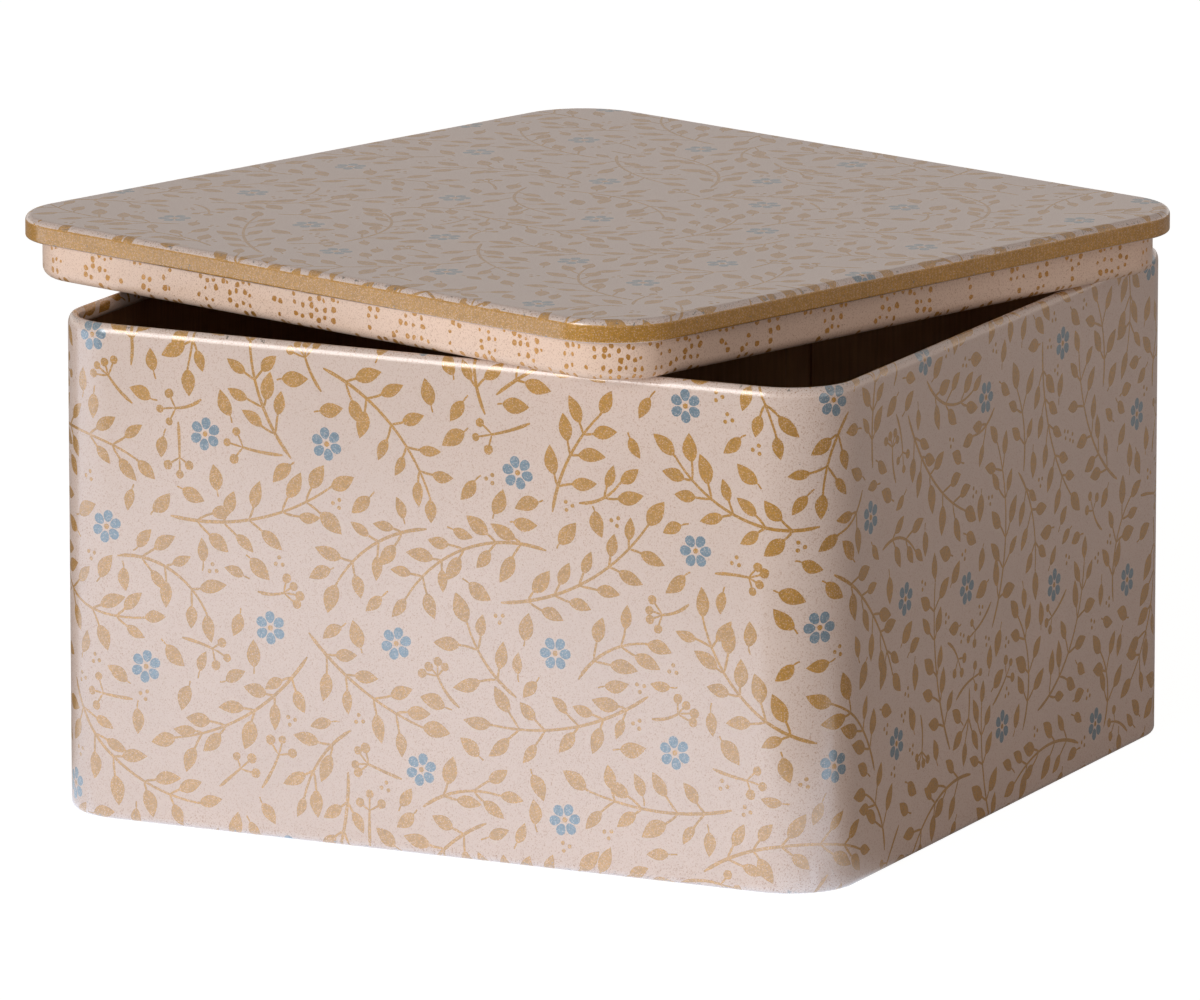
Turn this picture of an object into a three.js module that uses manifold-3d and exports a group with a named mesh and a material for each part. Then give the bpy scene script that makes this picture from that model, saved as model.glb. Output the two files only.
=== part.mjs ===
// Square printed tin with a loose plug lid that lies askew across its open mouth.
// Units are millimetres and +Z is up. The box's front faces -Y and its right side +X.
// The origin is on the surface that the tin stands on, under the lid's centre,
// which is also the centre of the footprint of the box and its lid together.
import * as THREE from "three";
import { mergeVertices } from "three/addons/utils/BufferGeometryUtils.js";
import Module from "manifold-3d";

const wasm = await Module();
wasm.setup();

// Box
const side = 150;
const bodyHeight = 88;
const cornerRadius = 12.5;
const tightestCorner = 1;
const sheet = 0.25;

// Curled rim around the mouth
const rimWidth = 2.1;
const rimRise = 1.9;
const curlTuck = 0.9;
const curlEndAngle = THREE.MathUtils.degToRad(286);

// Flat seam that locks the base to the wall's foot
const footRadius = 1.15;
const seamPlay = 0.15;
const seamLap = 2.6;
const rawEdgeGap = 0.3;
const floorRise = 1.2;
const floorStepRun = 1;

// Lock seam that closes the wall strip at the middle of the back
const lockSeamWidth = 5;
const lockSeamPlies = 3;
const lockSeamGap = 0.6;

// Lid
const lidOverhang = 0.5;
const lidCornerEase = 1;
const plugClearance = 0.4;
const plugDepth = 7.1;
const plugFootRadius = 2;
const bandHeight = 4.1;
const topEdgeRadius = 1.2;
const hemInsideRadius = 0.2;
const hemToPlugGap = 0.4;
const panBend = 0.5;
const panGap = 0.3;

// How the lid lies on the rim
const lidTurn = THREE.MathUtils.degToRad(-17.3);
const lidRestGap = 0.3;
const boxShiftRight = 6.1;
const boxShiftForward = 3.9;

// Steps in the round stretches
const cornerSteps = 6;
const curlSteps = 10;
const tuckSteps = 5;
const bendSteps = 5;

// Points of an arc or ellipse in the section plane: u runs inwards from the outline, z runs up.
function arc(centre, radii, from, to, steps) {
  const points = [];
  for (let i = 0; i <= steps; i += 1) {
    const angle = THREE.MathUtils.lerp(from, to, i / steps);
    const u = centre.u + radii.u * Math.cos(angle);
    const z = centre.z + radii.z * Math.sin(angle);
    points.push({ u, z });
  }
  return points;
}

function bend(centre, radius, from, to) {
  return arc(centre, { u: radius, z: radius }, from, to, bendSteps);
}

// One side of the sheet: the middle line moved sideways by an offset, with mitred corners.
// A line that ends in a plate runs on level from its last point.
function offsetLine(line, offset, endsInPlate) {
  const directions = [];
  for (let i = 0; i + 1 < line.length; i += 1) {
    const run = new THREE.Vector2(line[i + 1].u - line[i].u, line[i + 1].z - line[i].z);
    directions.push(run.normalize());
  }
  if (endsInPlate) directions.push(new THREE.Vector2(1, 0));
  return line.map((point, i) => {
    const before = directions[Math.max(i - 1, 0)];
    const after = directions[Math.min(i, directions.length - 1)];
    const along = before.clone().add(after).normalize();
    const reach = offset / along.dot(after);
    return { u: point.u - along.y * reach, z: point.z + along.x * reach };
  });
}

// A rounded square that lies inset from an outline, at one height.
function roundedSquare(outline, point) {
  const radius = Math.max(outline.radius - point.u, tightestCorner);
  const reach = outline.half - point.u - radius;
  const loop = [];
  for (let corner = 0; corner < 4; corner += 1) {
    const start = (corner * Math.PI) / 2;
    const middle = start + Math.PI / 4;
    const centreX = reach * Math.sign(Math.cos(middle));
    const centreY = reach * Math.sign(Math.sin(middle));
    for (let i = 0; i <= cornerSteps; i += 1) {
      const angle = start + (i / cornerSteps) * (Math.PI / 2);
      const x = centreX + radius * Math.cos(angle);
      const y = centreY + radius * Math.sin(angle);
      loop.push(new THREE.Vector3(x, y, point.z));
    }
  }
  return loop;
}

function signedVolume(positions, triangles) {
  const corners = [new THREE.Vector3(), new THREE.Vector3(), new THREE.Vector3()];
  let volume = 0;
  for (let i = 0; i < triangles.length; i += 3) {
    corners.forEach((corner, k) => corner.fromArray(positions, 3 * triangles[i + k]));
    volume += corners[0].dot(corners[1].cross(corners[2])) / 6;
  }
  return volume;
}

// Sheet metal carried around a rounded square. The middle line starts at a raw edge.
// It ends at another raw edge, or in a flat plate that closes the square.
function formedSheet(outline, middleLine, endsInPlate) {
  const outer = offsetLine(middleLine, sheet / 2, endsInPlate);
  const inner = offsetLine(middleLine, -sheet / 2, endsInPlate).reverse();
  const loops = [...outer, ...inner].map((point) => roundedSquare(outline, point));
  const stations = loops[0].length;
  const positions = loops.flatMap((loop) => loop.flatMap((corner) => corner.toArray()));
  const triangles = [];
  const openPair = endsInPlate ? outer.length - 1 : -1;
  loops.forEach((loop, i) => {
    if (i === openPair) return;
    const here = i * stations;
    const next = ((i + 1) % loops.length) * stations;
    for (let k = 0; k < stations; k += 1) {
      const ahead = (k + 1) % stations;
      triangles.push(here + k, here + ahead, next + ahead);
      triangles.push(here + k, next + ahead, next + k);
    }
  });
  if (endsInPlate) {
    [openPair, openPair + 1].forEach((i) => {
      const centre = positions.length / 3;
      positions.push(0, 0, loops[i][0].z);
      for (let k = 0; k < stations; k += 1) {
        const pair = [i * stations + k, i * stations + ((k + 1) % stations)];
        const facing = i === openPair ? pair : pair.reverse();
        triangles.push(centre, ...facing);
      }
    });
  }
  if (signedVolume(positions, triangles) < 0) triangles.reverse();
  const geometry = new THREE.BufferGeometry();
  geometry.setAttribute("position", new THREE.Float32BufferAttribute(positions, 3));
  geometry.setIndex(triangles);
  return geometry;
}

function toSolid(geometry) {
  const bare = geometry.clone();
  bare.deleteAttribute("normal");
  bare.deleteAttribute("uv");
  const merged = mergeVertices(bare);
  const vertProperties = new Float32Array(merged.attributes.position.array);
  const triVerts = new Uint32Array(merged.index.array);
  return new wasm.Manifold(new wasm.Mesh({ numProp: 3, vertProperties, triVerts }));
}

function toGeometry(solid) {
  const mesh = solid.getMesh();
  const geometry = new THREE.BufferGeometry();
  geometry.setAttribute("position", new THREE.Float32BufferAttribute(mesh.vertProperties, 3));
  geometry.setIndex([...mesh.triVerts]);
  return geometry;
}

// Sizes that more than one piece reads
const boxOutline = { half: side / 2, radius: cornerRadius };
const lidOutline = {
  half: side / 2 + lidOverhang,
  radius: cornerRadius + lidOverhang + lidCornerEase,
};
const plugHalf = side / 2 - rimWidth - plugClearance;
const plugInset = lidOutline.half - plugHalf;
const foldRadius = sheet;
const plyHeight = (ply) => sheet * (ply + 1 / 2);
const baseFoldAt = footRadius + seamPlay + foldRadius + sheet / 2;
const wallFoldAt = baseFoldAt + rawEdgeGap + seamLap;
const basePlyTop = plyHeight(3) + sheet / 2;

// Wall: up from a hook at its foot, straight, and over into a curl around the mouth.
function wallSection() {
  const middle = footRadius - sheet / 2;
  const footCentre = { u: footRadius, z: footRadius };
  const hookCentre = { u: wallFoldAt, z: plyHeight(1) };
  const curlCentre = { u: rimWidth / 2, z: bodyHeight - rimRise };
  const curlRadii = { u: -(rimWidth - sheet) / 2, z: rimRise - sheet / 2 };
  const tuckRadii = { u: curlRadii.u, z: curlTuck };
  const hookEnd = { u: baseFoldAt + rawEdgeGap, z: plyHeight(2) };
  const curl = arc(curlCentre, curlRadii, 0, Math.PI, curlSteps);
  const tuck = arc(curlCentre, tuckRadii, Math.PI, curlEndAngle, tuckSteps);
  return [
    hookEnd,
    ...bend(hookCentre, foldRadius, Math.PI / 2, -Math.PI / 2),
    ...bend(footCentre, middle, -Math.PI / 2, -Math.PI),
    ...curl,
    ...tuck.slice(1),
  ];
}

// A ply of the closed strip's lock seam stands proud inside, clear of the base seam and the curl.
function lockSeam() {
  const foot = basePlyTop + lockSeamGap;
  const head = bodyHeight - rimRise - curlTuck - lockSeamGap;
  const depth = lockSeamPlies * sheet + sheet / 2;
  const strip = new THREE.BoxGeometry(lockSeamWidth, depth, head - foot);
  const backFace = side / 2 - sheet / 2;
  strip.translate(0, backFace - depth / 2, (head + foot) / 2);
  return strip;
}

function bodyWall() {
  const strip = toSolid(formedSheet(boxOutline, wallSection(), false));
  return toGeometry(strip.add(toSolid(lockSeam())));
}

// Base: hooked into the wall's foot, then a step up to the floor of the box.
function basePanel() {
  const hookCentre = { u: baseFoldAt, z: plyHeight(2) };
  const hookEnd = { u: wallFoldAt - rawEdgeGap, z: plyHeight(1) };
  const stepBend = floorRise / 2;
  const stepMiddle = plyHeight(3) + stepBend;
  const lowCentre = { u: wallFoldAt + floorStepRun, z: stepMiddle };
  const highCentre = { u: lowCentre.u + floorRise, z: stepMiddle };
  const section = [
    hookEnd,
    ...bend(hookCentre, foldRadius, -Math.PI / 2, (-3 * Math.PI) / 2),
    ...bend(lowCentre, stepBend, -Math.PI / 2, 0),
    ...bend(highCentre, stepBend, Math.PI, Math.PI / 2).slice(1),
  ];
  return formedSheet(boxOutline, section, true);
}

// Lid's top: a flat plate, a rounded edge, a side band and a hem turned in under it.
function lidTopPanel() {
  const top = plugDepth + bandHeight;
  const edge = topEdgeRadius - sheet / 2;
  const hem = hemInsideRadius + sheet / 2;
  const hemAt = hemInsideRadius + sheet;
  const edgeCentre = { u: topEdgeRadius, z: top - topEdgeRadius };
  const hemCentre = { u: hemAt, z: plugDepth + hemAt };
  const hemEnd = { u: plugInset - hemToPlugGap, z: plugDepth + sheet / 2 };
  const section = [
    hemEnd,
    ...bend(hemCentre, hem, -Math.PI / 2, -Math.PI),
    ...bend(edgeCentre, edge, Math.PI, Math.PI / 2),
  ];
  return formedSheet(lidOutline, section, true);
}

// Lid's plug: a drawn pan. Its stepped rim stands above the hem, inside the band,
// and reaches up to just under the rounded edge of the top.
function lidPlugPan() {
  const collarFace = sheet + panGap;
  const collarAt = collarFace + sheet / 2;
  const edgeCentre = plugDepth + bandHeight - topEdgeRadius;
  const edgeRun = Math.max(topEdgeRadius - collarFace, 0);
  const edgeHeadroom = Math.sqrt((topEdgeRadius - sheet) ** 2 - edgeRun ** 2);
  const collarTop = edgeCentre + edgeHeadroom - panGap;
  const flangeAt = plugDepth + sheet + panGap + sheet / 2;
  const wallAt = plugInset + sheet / 2;
  const foot = plugFootRadius - sheet / 2;
  const section = [
    { u: collarAt, z: collarTop },
    ...bend({ u: collarAt + panBend, z: flangeAt + panBend }, panBend, Math.PI, (3 * Math.PI) / 2),
    ...bend({ u: wallAt - panBend, z: flangeAt - panBend }, panBend, Math.PI / 2, 0),
    ...bend({ u: plugInset + plugFootRadius, z: plugFootRadius }, foot, Math.PI, (3 * Math.PI) / 2),
  ];
  return formedSheet(lidOutline, section, true);
}

function piece(name, geometry, look) {
  geometry.computeVertexNormals();
  const mesh = new THREE.Mesh(geometry, new THREE.MeshStandardMaterial(look));
  mesh.name = name;
  return mesh;
}

const printedCream = { color: 0xd8c8bd, roughness: 0.35, metalness: 0.1 };
const printedTop = { color: 0xcfc0b4, roughness: 0.35, metalness: 0.1 };
const printedBlush = { color: 0xe0c7b1, roughness: 0.4, metalness: 0.1 };
const bareTin = { color: 0xa3a09a, roughness: 0.4, metalness: 0.9 };

const box = new THREE.Group();
box.position.set(boxShiftRight, -boxShiftForward, 0);
box.add(piece("body_wall", bodyWall(), printedCream));
box.add(piece("base_panel", basePanel(), bareTin));

const lid = new THREE.Group();
lid.position.set(0, 0, bodyHeight + lidRestGap);
lid.rotation.z = lidTurn;
lid.add(piece("lid_top_panel", lidTopPanel(), printedTop));
lid.add(piece("lid_plug_pan", lidPlugPan(), printedBlush));

const tin = new THREE.Group();
tin.add(box, lid);
export default tin;
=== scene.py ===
# %% [markdown]
# # A printed tin box with a loose lid
# A gift tin is four pieces of thin sheet metal: a wall bent to a rounded square,
# a base hooked into its foot, the lid's top and the lid's plug. Each sheet is
# printed flat and bent afterwards, and this notebook makes it in the same order.
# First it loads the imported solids, which say where every piece has to be.

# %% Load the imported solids
import math
import random

import bmesh
import bpy
import numpy as np
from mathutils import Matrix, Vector
from mathutils.geometry import delaunay_2d_cdt


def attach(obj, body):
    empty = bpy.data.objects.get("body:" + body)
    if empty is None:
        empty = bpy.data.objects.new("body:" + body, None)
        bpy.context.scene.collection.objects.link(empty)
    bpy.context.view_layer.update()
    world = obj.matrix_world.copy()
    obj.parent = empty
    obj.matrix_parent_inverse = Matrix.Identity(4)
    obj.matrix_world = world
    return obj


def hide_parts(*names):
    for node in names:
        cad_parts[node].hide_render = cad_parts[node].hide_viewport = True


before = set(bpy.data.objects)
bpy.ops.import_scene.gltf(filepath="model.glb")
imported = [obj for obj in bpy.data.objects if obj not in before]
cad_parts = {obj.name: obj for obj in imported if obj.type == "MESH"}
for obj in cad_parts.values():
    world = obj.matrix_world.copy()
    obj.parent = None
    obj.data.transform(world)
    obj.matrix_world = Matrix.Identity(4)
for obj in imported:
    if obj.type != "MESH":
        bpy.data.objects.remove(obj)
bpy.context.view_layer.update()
scene = bpy.context.scene

# %% [markdown]
# ## Sizes
# Lengths are in millimetres here, because a maker of tins thinks in them, and
# become metres only when a mesh is written. They are the sizes of the solids, so
# a dressed piece lies exactly where its solid is.

# %% Sizes
MM = 0.001
SHEET = 0.25
BOX = {"half": 75.0, "radius": 12.5}
LID = {"half": 75.5, "radius": 14.0}
BOX_PLACE = (6.1, -3.9, 0.0)
BOX_HEIGHT = 88.0
LID_PLACE = (0.0, 0.0, BOX_HEIGHT + 0.3)
LID_TURN = math.radians(-17.3)
BOX_TURN = 0.0
CORNER_STEPS = 24
print("box", 2 * BOX["half"], "mm wide,", BOX_HEIGHT, "mm high; lid", 2 * LID["half"], "mm wide")

# %% [markdown]
# ## Camera
# A long lens far away keeps upright edges upright, as in a catalogue picture.
# The place and the focal length come from fitting a box to the outlines in the
# photograph. The camera looks along one direction and stands a little aside from
# its target, so no lens shift is needed.

# %% Camera
def direction(azimuth, elevation):
    """The unit vector from the object to a viewer or a lamp, with azimuth 0 in front."""
    a, e = math.radians(azimuth), math.radians(elevation)
    return Vector((math.sin(a) * math.cos(e), -math.cos(a) * math.cos(e), math.sin(e)))


def new_object(name, data):
    made = bpy.data.objects.new(name, data)
    scene.collection.objects.link(made)
    return made


TARGET = Vector((0.0061, -0.0039, 0.05))
VIEW = direction(25.888, 11.984)
RIGHT = Vector((0, 0, 1)).cross(VIEW).normalized()
UP = VIEW.cross(RIGHT)
CAMERA_DISTANCE = 2.330822
CAMERA_LEFT, CAMERA_DOWN = 0.003476, 0.001539
IMAGE_WIDTH = 1200
FOCAL_PIXELS = 13195.2
SENSOR_WIDTH = 36
camera_data = bpy.data.cameras.new("camera")
camera_data.sensor_fit = "HORIZONTAL"
camera_data.sensor_width = SENSOR_WIDTH
camera_data.lens = SENSOR_WIDTH * FOCAL_PIXELS / IMAGE_WIDTH
camera = new_object("camera", camera_data)
camera.location = TARGET + VIEW * CAMERA_DISTANCE - RIGHT * CAMERA_LEFT - UP * CAMERA_DOWN
camera.rotation_euler = (-VIEW).to_track_quat("-Z", "Y").to_euler()
scene.camera = camera
scene.view_settings.view_transform = "Standard"
print("lens", round(camera_data.lens, 1), "mm at", [round(c, 3) for c in camera.location])

# %% [markdown]
# ## Node helpers
# Shader trees are easier to read when a node is one line: its kind, its settings
# and what goes into its sockets. A value that is another node's socket is linked,
# and anything else is written on the socket itself.

# %% Node helpers
def add_node(tree, kind, inputs=None, **settings):
    node = tree.nodes.new(kind)
    for name, value in settings.items():
        setattr(node, name, value)
    for key, value in (inputs or {}).items():
        socket = node.inputs[key]
        if isinstance(value, bpy.types.NodeSocket):
            tree.links.new(value, socket)
        else:
            socket.default_value = value
    return node


def math_node(tree, operation, *values):
    inputs = dict(enumerate(values))
    return add_node(tree, "ShaderNodeMath", inputs, operation=operation).outputs[0]


def plus(tree, *values):
    return math_node(tree, "ADD", *values)


def times(tree, *values):
    return math_node(tree, "MULTIPLY", *values)


def vector_math(tree, operation, *values):
    inputs = dict(enumerate(values))
    return add_node(tree, "ShaderNodeVectorMath", inputs, operation=operation).outputs


def blend_colour(tree, factor, below, above, mode="MIX"):
    inputs = {0: factor, 6: below, 7: above}
    return add_node(tree, "ShaderNodeMix", inputs, data_type="RGBA", blend_type=mode).outputs[2]


def blend_number(tree, factor, below, above):
    inputs = {"Value": factor, "To Min": below, "To Max": above}
    return add_node(tree, "ShaderNodeMapRange", inputs).outputs["Result"]


def ramp(tree, value, low, high, smooth=False):
    kind = "SMOOTHSTEP" if smooth else "LINEAR"
    inputs = {"Value": value, "From Min": low, "From Max": high}
    node = add_node(tree, "ShaderNodeMapRange", inputs, interpolation_type=kind)
    return node.outputs["Result"]


def object_place(tree):
    return tree.nodes.new("ShaderNodeTexCoord").outputs["Object"]


print("helpers for nodes: sums, products, vector sums, blends and ramps")

# %% Colours and materials
def srgb(red, green, blue):
    """A colour as a picture shows it, 0 to 255, turned into the light values Blender uses."""
    def light(channel):
        c = channel / 255
        return c / 12.92 if c <= 0.04045 else ((c + 0.055) / 1.055) ** 2.4

    return (light(red), light(green), light(blue), 1.0)


WHITE = (1.0, 1.0, 1.0, 1.0)


def new_material(name):
    material = bpy.data.materials.new(name)
    material.use_nodes = True
    tree = material.node_tree
    tree.nodes.clear()
    output = tree.nodes.new("ShaderNodeOutputMaterial")
    return material, tree, output


print("mid grey 128 is", round(srgb(128, 128, 128)[0], 3), "as light")

# %% [markdown]
# ## Studio
# The tin stands on a pale floor under one large soft lamp, low and to the left,
# so the front is bright, the right side lies in shade and the top only catches
# what the room gives. The camera sees a white floor that keeps a soft shadow. In
# reflections the floor shows a painted pool of light, a glow set by the place on
# the floor: bright in front of the tin, grey beyond it, and with a painted shadow
# close behind the tin. That lays the soft sheen over the front's lower half.
# A small bright window, seen only in reflections, draws the white line along the rim.

# %% Pool of light
# The pool of light is painted: a glow on the floor that only reflections see.
# Each edge is a direction over the floor, and where along it, in metres, the light is
# gone and where it is full.
POOL_EDGES = (
    ((0.0, 1.0, 0.0), -0.400, -0.335),
    ((-0.634, 0.773, 0.0), -0.215, -0.170),
    ((0.0, -1.0, 0.0), 0.040, 0.080),
)


def seen_or_mirrored(tree):
    """Light Path's answers: does the camera see this, itself or in a mirror; only in a mirror."""
    path = tree.nodes.new("ShaderNodeLightPath").outputs
    mirrored = math_node(tree, "MAXIMUM", path["Is Glossy Ray"], path["Is Transmission Ray"])
    return math_node(tree, "MAXIMUM", path["Is Camera Ray"], mirrored), mirrored


def pool_of_light(tree, where):
    """1 inside the painted pool of light on the floor, 0 outside, with three soft straight edges."""
    pool = 1.0
    for towards, outside, within in POOL_EDGES:
        along = vector_math(tree, "DOT_PRODUCT", where, towards)["Value"]
        pool = times(tree, pool, ramp(tree, along, outside, within, True))
    return pool


print("the pool of light has", len(POOL_EDGES), "soft edges")

# %% Floor
FLOOR_SIZE = 8.0
FLOOR_SINK = 0.0001
FLOOR_COLOUR = srgb(240, 239, 237)
FLOOR_SHADE_SHARE = 0.3
FLOOR_GLOW = 1.36
# Glows that reflections see on the floor: a painted pool of light, and painted grey beyond it.
POOL_GLOW = 1.95
POOL_TINT = (0.87, 1.0, 1.2, 1.0)
OUTSIDE_GLOW = 0.12
# Behind the tin is a painted shadow: the glow there grows only with distance from the tin.
BEHIND_GLOW = 0.22
BEHIND_REACH = (0.0, 0.35)


def mix_shaders(tree, factor, first, second):
    return add_node(tree, "ShaderNodeMixShader", {0: factor, 1: first, 2: second}).outputs[0]


def make_floor():
    material, tree, output = new_material("studio floor")
    seen, mirrored = seen_or_mirrored(tree)
    where = object_place(tree)
    pool = pool_of_light(tree, where)
    north = add_node(tree, "ShaderNodeSeparateXYZ", {0: where}).outputs["Y"]
    # Painted shadow of the tin in reflections: dark close behind it, lighter further back.
    behind = times(tree, ramp(tree, north, *BEHIND_REACH), BEHIND_GLOW)
    reflected = blend_number(tree, pool, plus(tree, OUTSIDE_GLOW, behind), POOL_GLOW)
    glow = blend_number(tree, mirrored, FLOOR_GLOW, reflected)
    cast = blend_colour(tree, times(tree, pool, mirrored), WHITE, POOL_TINT)
    plain = add_node(tree, "ShaderNodeBsdfDiffuse", {"Color": FLOOR_COLOUR}).outputs[0]
    white = add_node(tree, "ShaderNodeEmission", {"Color": cast, "Strength": glow}).outputs[0]
    from_above = mix_shaders(tree, times(tree, seen, 1 - FLOOR_SHADE_SHARE), plain, white)
    under = tree.nodes.new("ShaderNodeNewGeometry").outputs["Backfacing"]
    clear = tree.nodes.new("ShaderNodeBsdfTransparent").outputs[0]
    tree.links.new(mix_shaders(tree, under, from_above, clear), output.inputs["Surface"])
    mesh = bpy.data.meshes.new("floor")
    h, z = FLOOR_SIZE / 2, -FLOOR_SINK
    mesh.from_pydata([(-h, -h, z), (h, -h, z), (h, h, z), (-h, h, z)], [], [(0, 1, 2, 3)])
    mesh.materials.append(material)
    floor = new_object("floor", mesh)
    print("floor", FLOOR_SIZE, "m wide,", len(tree.nodes), "nodes in its material")


make_floor()

# %% Key lamp
KEY_POWER = 15.4
KEY_FROM = (-10, 12)
KEY_DISTANCE = 1.7
KEY_WIDTH, KEY_HEIGHT = 1.2, 0.6
key_data = bpy.data.lights.new("key softbox", "AREA")
key_data.shape = "RECTANGLE"
key_data.size, key_data.size_y = KEY_WIDTH, KEY_HEIGHT
key_data.energy = KEY_POWER
key = new_object("key softbox", key_data)
key.location = TARGET + direction(*KEY_FROM) * KEY_DISTANCE
key.rotation_euler = direction(*KEY_FROM).to_track_quat("Z", "Y").to_euler()
key.visible_glossy = False
print("key lamp", KEY_POWER, "W,", KEY_WIDTH, "m wide, seen from azimuth and elevation", KEY_FROM)

# %% Room light
ROOM_HORIZON, ROOM_ZENITH, ROOM_TOP = 0.618, 0.13, 0.8
ROOM_TINT = (1.0, 0.82, 0.73, 1.0)
MIRRORED_HORIZON, MIRRORED_ABOVE, MIRRORED_TOP = 1.0, 0.45, 0.35
MIRRORED_TINT = (1.0, 0.93, 0.88, 1.0)
WINDOW_FROM = (-26.5, 14)
WINDOW_GLOW = 5.0
WINDOW_TINT = (0.97, 0.99, 1.0, 1.0)
WINDOW_EDGES = (0.961, 0.996)

world = bpy.data.worlds.new("room")
scene.world = world
world.use_nodes = True
room = world.node_tree
room.nodes.clear()
seen, mirrored = seen_or_mirrored(room)
ray = room.nodes.new("ShaderNodeTexCoord").outputs["Generated"]
height = add_node(room, "ShaderNodeSeparateXYZ", {0: ray}).outputs["Z"]


def graded(low_level, high_level, top):
    """A brightness that goes from one level at the horizon to another one at this height."""
    levels = {"Value": height, "From Max": top, "To Min": low_level, "To Max": high_level}
    return add_node(room, "ShaderNodeMapRange", levels).outputs["Result"]


lit = graded(ROOM_HORIZON, ROOM_ZENITH, ROOM_TOP)
towards_window = vector_math(room, "DOT_PRODUCT", ray, direction(*WINDOW_FROM))["Value"]
window = ramp(room, towards_window, *WINDOW_EDGES, True)
reflected = graded(MIRRORED_HORIZON, MIRRORED_ABOVE, MIRRORED_TOP)
reflected = plus(room, reflected, times(room, window, WINDOW_GLOW))
only_seen = math_node(room, "SUBTRACT", seen, mirrored)
brightness = blend_number(room, mirrored, lit, reflected)
brightness = blend_number(room, only_seen, brightness, 1.0)
tint = blend_colour(room, window, MIRRORED_TINT, WINDOW_TINT)
tint = blend_colour(room, mirrored, ROOM_TINT, tint)
tint = blend_colour(room, only_seen, tint, WHITE)
background = add_node(room, "ShaderNodeBackground", {"Color": tint, "Strength": brightness})
world_output = room.nodes.new("ShaderNodeOutputWorld")
room.links.new(background.outputs[0], world_output.inputs["Surface"])
print("room light", ROOM_ZENITH, "overhead to", ROOM_HORIZON, "at the horizon;", len(room.nodes), "nodes")

# %% [markdown]
# ## Bending a sheet
# A tinsmith draws a section: the line that the sheet follows from one raw edge to
# the other. Here each section is a list of rows, and a row holds the inset from
# the outline, the height, and the direction that the printed side faces. Straight
# stretches need no rows of their own, because the next bend begins where they end.

# %% Section rows
def bend(centre, radii, start, end, steps):
    """Rows (inset, height, facing inset, facing height) along an arc, in degrees."""
    rows = []
    turn = 1 if end > start else -1
    for i in range(steps + 1):
        angle = math.radians(start + (end - start) * i / steps)
        along = (-radii[0] * math.sin(angle) * turn, radii[1] * math.cos(angle) * turn)
        length = math.hypot(*along)
        inset = centre[0] + radii[0] * math.cos(angle)
        height = centre[1] + radii[1] * math.sin(angle)
        rows.append((inset, height, -along[1] / length, along[0] / length))
    return rows


def bend_round(centre, radius, start, end, steps):
    return bend(centre, (radius, radius), start, end, steps)


def straight_on(rows, inset, height):
    """A raw edge at (inset, height), before the first of these rows."""
    return [(inset, height, rows[0][2], rows[0][3])] + rows


def distances_along(rows):
    """How far along the sheet each row lies."""
    points = np.array(rows)[:, :2]
    steps = np.hypot(*np.diff(points, axis=0).T)
    return np.concatenate([[0], np.cumsum(steps)])


print("a quarter bend in four steps has", len(bend_round((0, 0), 1, 0, 90, 4)), "rows")

# %% The wall's section
def ply(k):
    """The height of the middle of the k-th ply in the flat seam under the tin."""
    return SHEET * (k + 0.5)


FOOT_RADIUS = 1.15
FOLD_ROOM = 0.15
HOOK_DEPTH = 2.6
RAW_EDGE_GAP = 0.3
BASE_FOLD_AT = FOOT_RADIUS + FOLD_ROOM + SHEET + SHEET / 2
WALL_FOLD_AT = BASE_FOLD_AT + RAW_EDGE_GAP + HOOK_DEPTH
RIM_WIDTH = 2.1
RIM_RISE = 1.9
CURL_TUCK = 0.9
curl_centre = (RIM_WIDTH / 2, BOX_HEIGHT - RIM_RISE)
curl_across = -(RIM_WIDTH - SHEET) / 2
wall_rows = straight_on(
    bend_round((WALL_FOLD_AT, ply(1)), SHEET, 90, -90, 6)
    + bend_round((FOOT_RADIUS, FOOT_RADIUS), FOOT_RADIUS - SHEET / 2, -90, -180, 8)
    + bend(curl_centre, (curl_across, RIM_RISE - SHEET / 2), 0, 180, 18)
    + bend(curl_centre, (curl_across, CURL_TUCK), 180, 286, 8)[1:],
    BASE_FOLD_AT + RAW_EDGE_GAP, ply(2),
)
wall_along = distances_along(wall_rows)
# Rows of the section: the foot's bend from start to end, the rim's crest, its inner side.
FOOT_STARTS, FOOT_HALFWAY, FOOT_ENDS, CREST, CURL_INSIDE = 8, 12, 16, 26, 35
print("wall section:", len(wall_rows), "rows,", round(wall_along[-1], 1), "mm of sheet")

# %% [markdown]
# ## Around the rounded square
# The second direction of every sheet runs around the tin. A quarter goes from the
# middle of one side to the middle of the next, over one corner, and the other
# three are the same quarter turned. It starts at the middle of the back, where
# the wall's two ends are locked together.

# %% Around the rounded square
def quarter_lengths(outline):
    straight = outline["half"] - outline["radius"]
    arc = outline["radius"] * math.pi / 2
    return straight, arc, 2 * straight + arc


def turned(x, y, angle):
    cos, sin = np.cos(angle), np.sin(angle)
    return x * cos - y * sin, x * sin + y * cos


def around(outline, distance):
    """Points on the outline at these distances, and the directions that face out there."""
    straight, arc, quarter = quarter_lengths(outline)
    half, radius = outline["half"], outline["radius"]
    distance = np.asarray(distance, float)
    side = np.clip(np.floor(distance / quarter), 0, 3)
    rest = distance - side * quarter
    before = np.minimum(rest, straight)
    angle = np.clip(rest - straight, 0, arc) / radius
    after = np.maximum(rest - straight - arc, 0)
    facing = np.stack([-np.sin(angle), np.cos(angle)], -1)
    x = -before + radius * facing[..., 0]
    y = half - radius + radius * facing[..., 1] - after
    turn = side * math.pi / 2
    facing = turned(facing[..., 0], facing[..., 1], turn)
    return np.stack(turned(x, y, turn), -1), np.stack(facing, -1)


WALL_LENGTH = 4 * quarter_lengths(BOX)[2]
print("the wall's strip is", round(WALL_LENGTH, 1), "mm long")

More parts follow.
